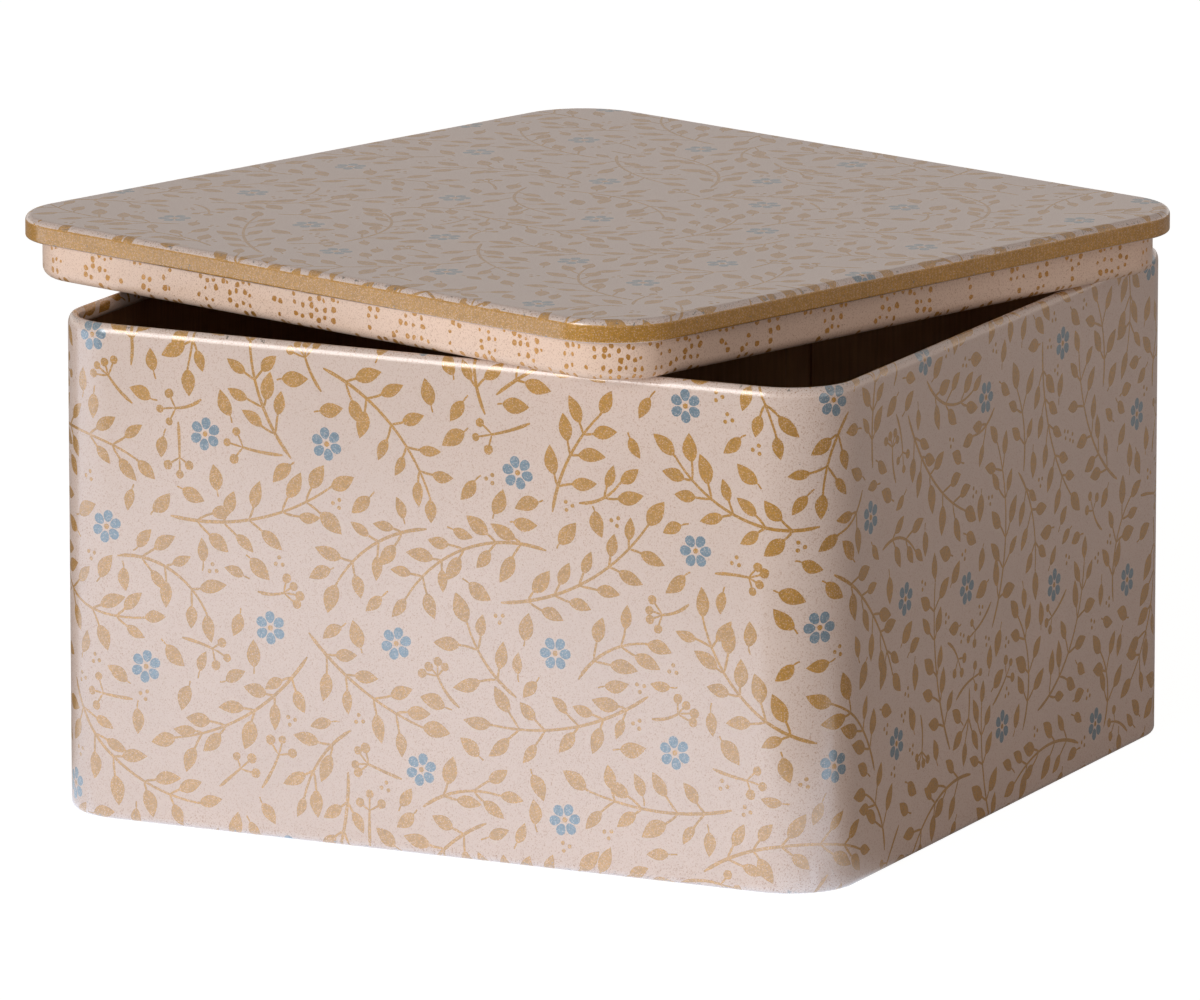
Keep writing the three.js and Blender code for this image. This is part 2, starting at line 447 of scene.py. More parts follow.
# %% [markdown]
# ## Motifs of the print
# The print is a plain all-over pattern of sprigs: a stem with leaves in pairs, a
# spray of berries, a six-petalled blossom, a single leaf and three dots. Every
# motif is a list of outlines with an ink number, drawn around its own origin, and
# a list of points that tells where its ink is.

# %% Lines and leaves
GROUND, GOLD, BLUE, GOLD_BAND = 0, 1, 2, 3
LEAF_STATIONS = np.array([0, 0.09, 0.22, 0.36, 0.5, 0.64, 0.78, 0.9, 1.0])
# A leaf is widest before its middle for a power below 1, and fuller for a smaller second one.
WIDEST_EARLY, FULLNESS = 0.82, 0.9
UNEVEN = (0.94, 1.06)
ROUNDED_START = 0.45


def rotation(angle):
    cos, sin = math.cos(angle), math.sin(angle)
    return np.array([[cos, sin], [-sin, cos]])


def unit(angle):
    return np.array([math.cos(angle), math.sin(angle)])


def ribbon(line, start_width, end_width):
    """The outline of a stem that follows a line and tapers."""
    run = np.gradient(line, axis=0)
    run /= np.linalg.norm(run, axis=1)[:, None]
    aside = np.stack([-run[:, 1], run[:, 0]], 1)
    half = np.linspace(start_width, end_width, len(line))[:, None] / 2
    half[0] *= ROUNDED_START
    return np.concatenate([line + aside * half, (line - aside * half)[::-1]])


def curved_line(start, angle, length, bend_angle, steps):
    """A line that leaves start at an angle and turns evenly by bend_angle."""
    turn = angle + bend_angle * (np.arange(steps) + 0.5) / steps
    step = length / steps
    moves = step * np.stack([np.cos(turn), np.sin(turn)], 1)
    return np.concatenate([[start], start + np.cumsum(moves, 0)]), angle + bend_angle


def leaf(base, angle, length, width, sway):
    """The outline of a pointed leaf, and its midrib, from its base along the angle."""
    t = LEAF_STATIONS
    half = width / 2 * np.sin(math.pi * t**WIDEST_EARLY) ** FULLNESS
    middle = np.stack([t * length, sway * length * t * (1 - t)], 1)
    upper = middle + np.stack([0 * t, half], 1)
    lower = middle - np.stack([0 * t, half], 1)
    shape = np.concatenate([upper, lower[-2:0:-1]])
    return base + shape @ rotation(angle), base + middle @ rotation(angle)


def dot(centre, radius, corners, rng):
    """A round spot, a little uneven as if inked by hand."""
    angle = np.arange(corners) / corners * 2 * math.pi + rng.random()
    reach = radius * np.array([rng.uniform(*UNEVEN) for _ in range(corners)])[:, None]
    return centre + reach * np.stack([np.cos(angle), np.sin(angle)], 1)


MARK_SPACING = 0.6


def dense(line):
    """The same line with a point at least every MARK_SPACING."""
    steps = np.linalg.norm(np.diff(line, axis=0), axis=1)
    along = np.concatenate([[0], np.cumsum(steps)])
    at = np.arange(0, along[-1], MARK_SPACING)
    return np.stack([np.interp(at, along, line[:, k]) for k in (0, 1)], 1)


example = leaf(np.zeros(2), 0.0, 5.0, 2.5, 0.1)[0]
print("a leaf's outline has", len(example), "points")

# %% Sprigs
# The ranges that the draws pick from: lengths in millimetres, bends and leans in
# radians, and a leaf's width as a share of its length.
LEAF_LENGTHS, LEAF_WIDTHS, LEAF_SWAYS, LEAF_OVERLAP = (4.0, 5.6), (0.44, 0.56), (-0.2, 0.2), 0.25
STALK_LENGTHS, STALK_BENDS, STALK_WIDTHS, TIP_STALK = (1.6, 3.8), (-0.35, 0.35), (0.5, 0.42), 0.8
STEM_BENDS, STEM_WIDTHS, LEAF_LEANS = (0.5, 1.3), (0.68, 0.42), (0.6, 0.95)
PAIR_SPACINGS, FIRST_PAIR_AT, BARE_TIP = (5.2, 6.2), 4.5, 1.0


def leaf_on_stalk(shapes, marks, base, angle, stalk, rng):
    line, heading = curved_line(base, angle, stalk, rng.uniform(*STALK_BENDS), 3)
    shapes.append((GOLD, ribbon(line, *STALK_WIDTHS)))
    size = rng.uniform(*LEAF_LENGTHS)
    width = size * rng.uniform(*LEAF_WIDTHS)
    start = line[-1] - LEAF_OVERLAP * unit(heading)
    shape, middle = leaf(start, heading, size, width, rng.uniform(*LEAF_SWAYS))
    shapes.append((GOLD, shape))
    marks += [line, shape, middle]


def sprig(rng, pairs):
    """A bent stem with leaves in pairs and one leaf at its tip."""
    shapes, marks = [], []
    spacing = rng.uniform(*PAIR_SPACINGS)
    length = FIRST_PAIR_AT + spacing * pairs - BARE_TIP
    steps = 4 + 3 * pairs
    bent = rng.uniform(*STEM_BENDS) * rng.choice((-1, 1))
    line, heading = curved_line(np.zeros(2), 0.0, length, bent, steps)
    shapes.append((GOLD, ribbon(line, *STEM_WIDTHS)))
    run = np.diff(line, axis=0)
    for k in range(pairs):
        i = int(round((FIRST_PAIR_AT + spacing * k) / length * steps))
        angle = math.atan2(run[min(i, steps - 1)][1], run[min(i, steps - 1)][0])
        for side in (-1, 1):
            lean = side * rng.uniform(*LEAF_LEANS)
            leaf_on_stalk(shapes, marks, line[i], angle + lean, rng.uniform(*STALK_LENGTHS), rng)
    leaf_on_stalk(shapes, marks, line[-1], heading, TIP_STALK, rng)
    marks.append(dense(line))
    return shapes, marks


print("one sprig of three pairs has", len(sprig(random.Random(1), 3)[0]), "outlines")

# %% Berries, blossoms and small motifs
SPRAY_LENGTHS, SPRAY_BENDS, SPRAY_WIDTHS, SPRAY_OPENS = (5, 8), (-0.7, 0.7), (0.7, 0.45), 2.1
TWIG_LENGTHS, TWIG_BENDS, TWIG_WIDTHS, BERRY_RADII = (2.2, 3.2), (-0.3, 0.3), (0.42, 0.34), (0.72, 0.95)
PETALS, PETAL_OUT, PETAL_LONG, PETAL_WIDE, PETAL_FLARE = 6, 1.88, 1.08, 0.9, 0.16
PETAL_POINTS, EYE_RADIUS = 11, 0.5
SINGLE_LENGTHS, SINGLE_WIDTHS, SINGLE_SWAYS = (3.8, 5.4), (0.48, 0.58), (-0.3, 0.3)
TAIL_LENGTHS, TAIL_BENDS, TAIL_WIDTHS = (0.8, 1.8), (-0.5, 0.5), (0.36, 0.3)
DOT_RADIUS, DOT_FROM_MIDDLE, DOT_TURN = 0.4, 0.8, 2.1


def berries(rng, _):
    """A short bent stem that opens into three or four twigs with a berry on each."""
    shapes, marks = [], []
    length = rng.uniform(*SPRAY_LENGTHS)
    line, heading = curved_line(np.zeros(2), 0.0, length, rng.uniform(*SPRAY_BENDS), 5)
    shapes.append((GOLD, ribbon(line, *SPRAY_WIDTHS)))
    marks.append(dense(line))
    count = rng.choice((3, 4))
    for k in range(count):
        lean = heading + (k / (count - 1) - 0.5) * SPRAY_OPENS
        length = rng.uniform(*TWIG_LENGTHS)
        twig, _ = curved_line(line[-1], lean, length, rng.uniform(*TWIG_BENDS), 3)
        shapes.append((GOLD, ribbon(twig, *TWIG_WIDTHS)))
        berry = dot(twig[-1], rng.uniform(*BERRY_RADII), 11, rng)
        shapes.append((GOLD, berry))
        marks += [dense(twig), berry]
    return shapes, marks


def blossom(rng, _):
    """Six blue petals around a gold eye."""
    shapes, marks = [], [np.zeros((1, 2))]
    first = rng.random() * 6
    a = np.arange(PETAL_POINTS) / PETAL_POINTS * 2 * math.pi
    long = (PETAL_LONG * np.cos(a))[:, None]
    wide = (PETAL_WIDE * np.sin(a) * (1 + PETAL_FLARE * np.cos(a)))[:, None]
    for k in range(PETALS):
        out = unit(first + k * math.pi / 3)
        aside = np.array([-out[1], out[0]])
        petal = out * (PETAL_OUT + long) + aside * wide
        shapes.append((BLUE, petal))
        marks.append(petal)
    shapes.append((GOLD, dot(np.zeros(2), EYE_RADIUS, 9, rng)))
    return shapes, marks


def single_leaf(rng, _):
    size = rng.uniform(*SINGLE_LENGTHS)
    width = size * rng.uniform(*SINGLE_WIDTHS)
    shape, middle = leaf(np.zeros(2), 0.0, size, width, rng.uniform(*SINGLE_SWAYS))
    length = rng.uniform(*TAIL_LENGTHS)
    tail, _ = curved_line(np.array([0.15, 0.0]), math.pi, length, rng.uniform(*TAIL_BENDS), 3)
    shapes = [(GOLD, shape), (GOLD, ribbon(tail, *TAIL_WIDTHS))]
    return shapes, [shape, middle, dense(tail)]


def three_dots(rng, _):
    shapes, marks = [], []
    for k in range(3):
        spot = dot(DOT_FROM_MIDDLE * unit(DOT_TURN * k), DOT_RADIUS, 8, rng)
        shapes.append((GOLD, spot))
        marks.append(spot)
    return shapes, marks


print("a blossom has", len(blossom(random.Random(1), 0)[0]), "outlines")

# %% [markdown]
# ## Tossing the motifs
# A tossed layout looks free, yet no two motifs touch. Random points alone would
# pile up, so a fine grid remembers where there is ink, with a margin around it,
# and a motif that meets it is thrown again. Blossoms come first and keep apart,
# then long sprigs, then shorter ones, and small motifs fill the gaps.

# %% Rounds of motifs
GRID = 0.25
# Motif, pairs of leaves, share of the tries on a square centimetre, clearance in
# millimetres, and the least distance between the middles of two of them.
ROUNDS = (
    (blossom, 0, 0.8, 1.0, 22.0),
    (sprig, 5, 0.8, 0.9, 0.0),
    (sprig, 4, 1.3, 0.9, 0.0),
    (sprig, 3, 2.4, 0.9, 0.0),
    (sprig, 2, 3.6, 0.85, 0.0),
    (berries, 0, 1.0, 0.9, 0.0),
    (sprig, 1, 4.0, 0.85, 0.0),
    (single_leaf, 0, 8.0, 0.8, 0.0),
    (three_dots, 0, 1.5, 0.8, 0.0),
)


def centred(motif, rng, size):
    """A motif's outlines and the points that mark its ink, around their own middle."""
    shapes, marks = motif(rng, size)
    points = np.concatenate(marks)
    centre = points.mean(0)
    return [(ink, outline - centre) for ink, outline in shapes], points - centre


def disc_cells(radius):
    """The cells of the grid within this radius, as steps from the middle one."""
    reach = np.arange(-int(radius / GRID) - 1, int(radius / GRID) + 2)
    return np.array([(a, b) for a in reach for b in reach if math.hypot(a, b) * GRID <= radius])


print("motifs in the order they are tossed:", [motif.__name__ for motif, *_ in ROUNDS])

# %% Tossing the motifs
EDGE_CELLS = 120
VARIANTS = 36
TRIES = 3


def toss(low, high, seed, allowed=None):
    """Outlines (ink, points) of motifs spread over the rectangle from low to high."""
    rng = random.Random(seed)
    low, high = np.array(low, float), np.array(high, float)
    square_cm = float(np.prod(high - low)) / 100
    taken = np.zeros(tuple(((high - low) / GRID).astype(int) + 2 * EDGE_CELLS), bool)
    placed = []
    for motif, size, tries, clearance, apart in ROUNDS:
        disc = disc_cells(clearance)
        variants = [centred(motif, rng, size) for _ in range(VARIANTS)]
        centres = np.zeros((0, 2))
        for _ in range(int(square_cm * tries * TRIES)):
            where = low + (high - low) * (rng.random(), rng.random())
            shapes, points = rng.choice(variants)
            spin = rotation(rng.uniform(0, 2 * math.pi))
            middle = ((where - low) / GRID).astype(int) + EDGE_CELLS
            if taken[middle[0], middle[1]]:
                continue
            if apart and len(centres) and np.hypot(*(centres - where).T).min() < apart:
                continue
            at = ((where - low + points @ spin) / GRID).astype(int) + EDGE_CELLS
            if taken[at[::7, 0], at[::7, 1]].any() or taken[at[:, 0], at[:, 1]].any():
                continue
            if allowed and not allowed(where + points @ spin):
                continue
            stamp = (at[:, None] + disc[None]).reshape(-1, 2)
            taken[stamp[:, 0], stamp[:, 1]] = True
            centres = np.concatenate([centres, where[None]])
            placed += [(ink, where + outline @ spin) for ink, outline in shapes]
    return placed


def polygon_area(points):
    x, y = points.T
    return abs(np.dot(x, np.roll(y, -1)) - np.dot(y, np.roll(x, -1))) / 2


print("a sheet of 4 by 4 cm takes", len(toss((0, 0), (40, 40), 1)), "outlines")

# %% [markdown]
# ## Cutting the print into the sheet
# A picture would blur when seen close. Instead each outline becomes edges of the
# mesh, and every face knows its ink. Constrained Delaunay triangulation does it:
# it joins all given points into triangles and keeps every given edge. It slows
# down quickly with more points, so the sheet is cut tile by tile, and tiles share
# the points on their borders.

# %% Cutting the print
def inside(points, outline):
    """Which points lie inside a closed outline, by the edges that they have to their right."""
    x, y = points.T
    x0, y0 = outline.T[:, :, None]
    x1, y1 = np.roll(outline, -1, 0).T[:, :, None]
    with np.errstate(divide="ignore", invalid="ignore"):
        edge_x = (x1 - x0) * (y - y0) / (y1 - y0) + x0
    return (((y0 > y) != (y1 > y)) & (x < edge_x)).sum(0) % 2 == 1


def cut_tile(low, high, lines, outlines):
    """Triangles of one tile that keep the edges of lines and outlines, with their ink."""
    corners = [(low[0], low[1]), (high[0], low[1]), (high[0], high[1]), (low[0], high[1])]
    points = [Vector(c) for c in corners]
    edges = [(0, 1), (1, 2), (2, 3), (3, 0)]
    for line in lines:
        for a, b in zip(line[:-1], line[1:]):
            if max(a[0], b[0]) < low[0] or min(a[0], b[0]) > high[0]:
                continue
            if max(a[1], b[1]) < low[1] or min(a[1], b[1]) > high[1]:
                continue
            edges.append((len(points), len(points) + 1))
            points += [Vector(a), Vector(b)]
    touching = []
    for ink, outline in outlines:
        if (outline.max(0) < low).any() or (outline.min(0) > high).any():
            continue
        touching.append((ink, outline))
        first = len(points)
        points += [Vector(p) for p in outline]
        count = len(outline)
        edges += [(first + i, first + (i + 1) % count) for i in range(count)]
    found = delaunay_2d_cdt(points, edges, [], 0, 1e-6, False)
    places = np.array([tuple(p) for p in found[0]])
    triangles = np.array([f for f in found[2] if len(f) == 3])
    middles = places[triangles].mean(1)
    keep = ((middles > low) & (middles < high)).all(1)
    triangles, middles = triangles[keep], middles[keep]
    ink_of = np.zeros(len(triangles), int)
    for ink, outline in touching:
        box = ((middles > outline.min(0)) & (middles < outline.max(0))).all(1)
        here = np.nonzero(box)[0]
        if len(here):
            hit = here[inside(middles[here], outline)]
            ink_of[hit] = ink
    return places, triangles, ink_of


def cut_sheet(cuts_x, cuts_y, lines_for, outlines):
    """All tiles of a sheet joined: points, triangles and the ink of each."""
    points, triangles, inks, count = [], [], [], 0
    for x0, x1 in zip(cuts_x[:-1], cuts_x[1:]):
        for y0, y1 in zip(cuts_y[:-1], cuts_y[1:]):
            low, high = np.array([x0, y0]), np.array([x1, y1])
            tile = cut_tile(low, high, lines_for(low, high), outlines)
            points.append(tile[0])
            triangles.append(tile[1] + count)
            inks.append(tile[2])
            count += len(tile[0])
    return np.concatenate(points), np.concatenate(triangles), np.concatenate(inks)


one_leaf = leaf(np.array([0.5, 2.0]), 0.0, 3.0, 1.2, 0.0)[0]
_, sample, sample_ink = cut_tile(np.zeros(2), np.full(2, 4.0), [], [(GOLD, one_leaf)])
print("a tile with one leaf:", len(sample), "triangles,", int((sample_ink == GOLD).sum()), "gold")

# %% [markdown]
# ## From a flat sheet to a bent one
# A flat point has a distance around the tin and a distance along the section. The
# first gives a place on the outline, the second an inset and a height, and half
# the thickness to either side makes the two faces of the sheet. Normals come from
# the same sums, so the flat sides stay flat in every reflection.

# %% Bending the wall's strip
SEAM_GROOVE = (0.4, 0.14)


def lift(outline_points, facing, rows, distances, at, offset):
    """Places and normals of a sheet's face, offset to the printed side of its middle line."""
    table = np.array(rows)
    inset, height, face_in, face_up = (np.interp(at, distances, table[:, k]) for k in range(4))
    inset = inset + offset * face_in
    height = height + offset * face_up
    places = np.column_stack([outline_points - facing * inset[:, None], height])
    normals = np.column_stack([-facing * face_in[:, None], face_up])
    normals /= np.linalg.norm(normals, axis=1)[:, None]
    return places, normals if offset > 0 else -normals


def bend_wall(flat, offset):
    """Places and normals of the wall's sheet, with a fine groove where its ends meet."""
    points, facing = around(BOX, flat[:, 0])
    from_seam = np.minimum(flat[:, 0], WALL_LENGTH - flat[:, 0])
    reach, depth = SEAM_GROOVE
    groove = depth * np.clip(1 - from_seam / reach, 0, 1) if offset > 0 else 0 * from_seam
    points = points - facing * groove[:, None]
    return lift(points, facing, wall_rows, wall_along, flat[:, 1], offset)


def into_place(points, normals, place, turn):
    """Puts a piece that was made around its own middle where it stands on the tin."""
    matrix = np.eye(3)
    matrix[:2, :2] = rotation(turn)
    return points @ matrix + place, normals @ matrix


front = bend_wall(np.array([[WALL_LENGTH / 2, wall_along[FOOT_ENDS] + 40]]), SHEET / 2)[0][0]
print("the middle of the strip comes to lie at", front.round(1).tolist())

# %% [markdown]
# ## Writing a mesh
# The two faces and the raw edges of a sheet come as separate patches of triangles.
# Each patch brings its normals, its ink and its place in the baked texture. They
# are joined, triangles that look inwards are turned over, and points that lie on
# each other are welded, so the piece is one closed skin.

# %% Patches of a sheet
PRINTED, BARE = 0, 1


def patch(points, triangles, normals, ink, side, flat, bake, rub):
    """One face of a sheet. All but ink and the bake places are looked up from its points."""
    return {
        "points": points, "triangles": triangles, "normals": normals[triangles],
        "ink": ink, "side": np.full(len(triangles), side), "flat": flat[triangles],
        "bake": bake, "rub": rub[triangles],
    }


def plain_patch(points, triangles, normals, bake_at):
    """Bare metal with one flat normal on each triangle and one spot in the texture."""
    zero = np.zeros((len(triangles), 3, 2))
    return {
        "points": points, "triangles": triangles, "normals": np.repeat(normals[:, None], 3, 1),
        "ink": np.zeros(len(triangles), int), "side": np.full(len(triangles), BARE),
        "flat": zero, "bake": zero + np.array(bake_at), "rub": zero[..., 0],
    }


def looks_towards(points, triangles):
    """The way each triangle faces, with a length of twice its area."""
    corners = points[triangles]
    return np.cross(corners[:, 1] - corners[:, 0], corners[:, 2] - corners[:, 0])


def flat_normals(points, triangles):
    normals = looks_towards(points, triangles)
    return normals / (np.linalg.norm(normals, axis=1)[:, None] + 1e-12)


def edge_patch(outside, within, bake_at, towards):
    """The raw edge of a sheet, between its two faces. The first normal faces this way."""
    count = len(outside)
    points = np.concatenate([outside, within])
    here = np.arange(count)
    ahead = (here + 1) % count
    triangles = np.concatenate([
        np.column_stack([here, ahead, ahead + count]),
        np.column_stack([here, ahead + count, here + count]),
    ])
    normals = flat_normals(points, triangles)
    if normals[0] @ towards < 0:
        normals = -normals
    return plain_patch(points, triangles, normals, bake_at)


print("each patch brings:", list(plain_patch(np.eye(3), np.array([[0, 1, 2]]), np.eye(1, 3), (0, 0))))

# %% Writing a mesh
WELD_WITHIN = 2e-7
NO_AREA = 1e-9


def weld(mesh):
    """Merges points that lie on each other, and says whether the skin is closed."""
    work = bmesh.new()
    work.from_mesh(mesh)
    bmesh.ops.remove_doubles(work, verts=work.verts, dist=WELD_WITHIN)
    open_edges = sum(1 for e in work.edges if len(e.link_faces) != 2)
    work.to_mesh(mesh)
    work.free()
    counts = (len(mesh.vertices), "points,", len(mesh.polygons), "faces,", open_edges, "open edges")
    print(mesh.name, "welded:", *counts)


def write_piece(name, patches, materials):
    """One object from patches of triangles in millimetres."""
    offset, triangles = 0, []
    parts = {k: [] for k in ("normals", "ink", "side", "flat", "bake", "rub")}
    for p in patches:
        triangles.append(p["triangles"] + offset)
        offset += len(p["points"])
        for key, values in parts.items():
            values.append(p[key])
    points = np.concatenate([p["points"] for p in patches])
    triangles = np.concatenate(triangles)
    parts = {key: np.concatenate(values) for key, values in parts.items()}
    looks = looks_towards(points, triangles)
    keep = np.linalg.norm(looks, axis=1) > NO_AREA
    wrong = (looks * parts["normals"].mean(1)).sum(1) < 0
    for values in (triangles, parts["normals"], parts["flat"], parts["bake"], parts["rub"]):
        values[wrong] = values[wrong][:, ::-1]
    triangles = triangles[keep]
    parts = {key: values[keep] for key, values in parts.items()}
    mesh = bpy.data.meshes.new(name)
    mesh.vertices.add(len(points))
    mesh.vertices.foreach_set("co", (points * MM).ravel())
    mesh.loops.add(triangles.size)
    mesh.loops.foreach_set("vertex_index", triangles.ravel())
    mesh.polygons.add(len(triangles))
    mesh.polygons.foreach_set("loop_start", np.arange(0, triangles.size, 3))
    mesh.update(calc_edges=True)
    for key, kind, domain in (
        ("normals", "FLOAT_VECTOR", "CORNER"), ("ink", "FLOAT", "FACE"), ("rub", "FLOAT", "CORNER"),
    ):
        values = mesh.attributes.new(key, kind, domain).data
        member = "vector" if kind == "FLOAT_VECTOR" else "value"
        values.foreach_set(member, parts[key].astype(float).ravel())
    for label, key in (("OFBake", "bake"), ("flat_sheet", "flat")):
        layer = mesh.uv_layers.new(name=label)
        layer.uv.foreach_set("vector", parts[key].astype(float).ravel())
    mesh.polygons.foreach_set("material_index", parts["side"].astype(np.int32))
    weld(mesh)
    normals = np.zeros(len(mesh.loops) * 3)
    mesh.attributes["normals"].data.foreach_get("vector", normals)
    mesh.attributes.remove(mesh.attributes["normals"])
    mesh.normals_split_custom_set(normals.reshape(-1, 3).tolist())
    for material in materials:
        mesh.materials.append(material)
    return new_object(name, mesh)


print("points closer than", WELD_WITHIN, "m are welded into one")

# %% [markdown]
# ## Tinplate, ink and varnish
# Four small effects are shared by the sheets, so each is a node group: the fine tan
# specks of the ground, the grain of the metallic ink with a painted glint on its
# flakes, where pinholes let the ground through, the faint ripple that every thin
# sheet has, and the wear along its edges, where small spots of print are rubbed
# off down to the tin.

# %% Specks of the ground
# Scales of textures here and below say how many waves or grains go in a metre. Edges
# say from which value of the texture a spot begins, and from which it is full.
FINE_SPECKS, COARSE_SPECKS, CLOUDS = 3900, 1900, 30
FINE_EDGES, COARSE_EDGES, CLOUD_EDGES = (0.53, 0.74), (0.62, 0.76), (0.3, 0.7)
FINE_SHADE, COARSE_SHADE, CLOUD_LEVELS = 0.9, 0.5, (0.97, 1.03)
FLOAT, VECTOR, COLOUR = "NodeSocketFloat", "NodeSocketVector", "NodeSocketColor"
BLACK = (0.0, 0.0, 0.0, 1.0)


def new_group(name, inputs, outputs):
    tree = bpy.data.node_groups.new(name, "ShaderNodeTree")
    tree.interface.new_socket("Vector", in_out="INPUT", socket_type=VECTOR)
    for label, kind, value in inputs:
        socket = tree.interface.new_socket(label, in_out="INPUT", socket_type=kind)
        socket.default_value = value
    for label, kind in outputs:
        tree.interface.new_socket(label, in_out="OUTPUT", socket_type=kind)
    return tree, tree.nodes.new("NodeGroupInput").outputs, tree.nodes.new("NodeGroupOutput").inputs


def noise(tree, vector, scale, detail=2.0, roughness=0.5):
    inputs = {"Vector": vector, "Scale": scale, "Detail": detail, "Roughness": roughness}
    return add_node(tree, "ShaderNodeTexNoise", inputs).outputs[0]


def shaded(tree, colour, level):
    """The colour, made brighter or darker by a number around 1."""
    even = add_node(tree, "ShaderNodeCombineColor", {0: level, 1: level, 2: level}).outputs[0]
    return blend_colour(tree, 1.0, colour, even, "MULTIPLY")


specks, given, result = new_group(
    "ground specks",
    [("Colour", COLOUR, WHITE), ("Speck colour", COLOUR, BLACK), ("Amount", FLOAT, 0.3)],
    [("Colour", COLOUR)],
)
fine = noise(specks, given["Vector"], FINE_SPECKS, 2, 0.7)
coarse = noise(specks, given["Vector"], COARSE_SPECKS, 2, 0.6)
cloud = noise(specks, given["Vector"], CLOUDS, 3)
crowded = times(specks, given["Amount"], plus(specks, cloud, 0.5))
dark = times(specks, ramp(specks, fine, *FINE_EDGES), FINE_SHADE)
dust = times(specks, ramp(specks, coarse, *COARSE_EDGES), COARSE_SHADE)
shade = times(specks, plus(specks, dark, dust), crowded)
tint = blend_colour(specks, shade, given["Colour"], given["Speck colour"])
level = blend_number(specks, ramp(specks, cloud, *CLOUD_EDGES), *CLOUD_LEVELS)
specks.links.new(shaded(specks, tint, level), result["Colour"])
print("group:", specks.name)

# %% Metallic ink
FLAKES, LOOSE_GRID, PINHOLE_EDGES = 3800.0, 0.8, (0.42, 0.24)
DULL_PATCHES, DULLEST, LESS_DULL = 160, 0.86, 0.28
# How dark and how much brighter a flake's colour can be: partly the ink's grain, partly a painted glint.
DARKEST_FLAKE, BRIGHTER_FLAKES = 0.82, 0.36

grain, given, result = new_group(
    "metallic ink",
    [("Ink", COLOUR, WHITE), ("Ground", COLOUR, WHITE), ("Pinholes", FLOAT, 0.5)],
    [("Colour", COLOUR), ("Flakes", FLOAT)],
)
cells = {"Vector": given["Vector"], "Scale": FLAKES, "Randomness": LOOSE_GRID}
flakes = add_node(grain, "ShaderNodeTexVoronoi", cells).outputs
flake = add_node(grain, "ShaderNodeSeparateColor", {0: flakes["Color"]}).outputs[0]
spots = ramp(grain, flakes["Distance"], *PINHOLE_EDGES)
open_spots = times(grain, times(grain, spots, flake), given["Pinholes"])
dull = noise(grain, given["Vector"], DULL_PATCHES, 3)
# Each flake's colour is made brighter or darker at random: partly the ink's grain, partly a painted glint
# of its flakes.
flake_grain_and_glint = plus(grain, times(grain, flake, BRIGHTER_FLAKES), DARKEST_FLAKE)
bright = times(grain, flake_grain_and_glint, plus(grain, DULLEST, times(grain, dull, LESS_DULL)))
inked = shaded(grain, given["Ink"], bright)
grain.links.new(blend_colour(grain, open_spots, inked, given["Ground"]), result["Colour"])
grain.links.new(flake, result["Flakes"])
print("group:", grain.name)

# %% Ripple and wear
BROAD_RIPPLE, ORANGE_PEEL, TINY_RIPPLE = 26, 420, 2400
ORANGE_SHARE, TINY_SHARE = 0.05, 0.02
WORN_SPOTS, WORN_EDGES, RUB_SHARE = 1100, (0.735, 0.785), 0.15

ripple, given, result = new_group("sheet ripple", [("Fine", FLOAT, 0.5)], [("Height", FLOAT)])
broad = noise(ripple, given["Vector"], BROAD_RIPPLE, 1)
orange = times(ripple, noise(ripple, given["Vector"], ORANGE_PEEL, 2), ORANGE_SHARE)
tiny = times(ripple, noise(ripple, given["Vector"], TINY_RIPPLE, 2), TINY_SHARE)
small = times(ripple, plus(ripple, orange, tiny), given["Fine"])
ripple.links.new(plus(ripple, broad, small), result["Height"])

wear, given, result = new_group("edge wear", [("Rub", FLOAT, 0.0)], [("Worn", FLOAT)])
spots = noise(wear, given["Vector"], WORN_SPOTS, 4, 0.65)
reach = times(wear, given["Rub"], RUB_SHARE)
wear.links.new(ramp(wear, plus(wear, spots, reach), *WORN_EDGES), result["Worn"])
print("groups:", [g.name for g in bpy.data.node_groups])

# %% [markdown]
# ## The printed finish
# The ink attribute of each face picks the colour. Gold ink holds metal flakes, so
# it is partly metallic and a little rougher, and the whole print lies under a
# satin varnish, which is the coat. The numbers that never change over the surface
# are written on the shader itself.

# %% Parts that the finishes share
SPECK = srgb(168, 124, 88)
PRINT_RIPPLE = {"fine": 0.5, "strength": 0.25, "distance": 0.0004}
BARE_RIPPLE = {"fine": 1.0, "strength": 0.3, "distance": 0.0003}


def group_node(tree, group, inputs):
    return add_node(tree, "ShaderNodeGroup", inputs, node_tree=group).outputs


def speckled(tree, where, ground, amount):
    inputs = {"Vector": where, "Colour": ground, "Speck colour": SPECK, "Amount": amount}
    return group_node(tree, specks, inputs)["Colour"]


def metallic_ink(tree, where, ink, ground, pinholes):
    inputs = {"Vector": where, "Ink": ink, "Ground": ground, "Pinholes": pinholes}
    return group_node(tree, grain, inputs)


def finish_sheet(tree, output, where, waves, sockets):
    """The shader of a rippled sheet, with these of its sockets filled."""
    height = group_node(tree, ripple, {"Vector": where, "Fine": waves["fine"]})["Height"]
    relief = {"Height": height, "Strength": waves["strength"], "Distance": waves["distance"]}
    bump = add_node(tree, "ShaderNodeBump", relief).outputs["Normal"]
    shader = add_node(tree, "ShaderNodeBsdfPrincipled", {"Normal": bump, **sockets})
    tree.links.new(shader.outputs[0], output.inputs["Surface"])


print("the bump of the ripple has a distance of", PRINT_RIPPLE["distance"] / MM, "mm")

# %% Printed finish
CREAM = srgb(223, 207, 198)
WORN_TIN = srgb(132, 124, 114)
GILT = srgb(187, 138, 53)
PETAL = srgb(113, 138, 154)
TIN_SHINE, WORN_SHINE = 0.05, 0.9
LEAST_FLAKES, MORE_FLAKES = 0.08, 0.07
VARNISH_ROUGH, INK_ROUGHER = 0.36, 0.06
RUBBED, POLISHED = 0.4, 0.9
BAND_COAT = 0.45
GILT_PINHOLES, PETAL_PINHOLES = 0.7, 0.75


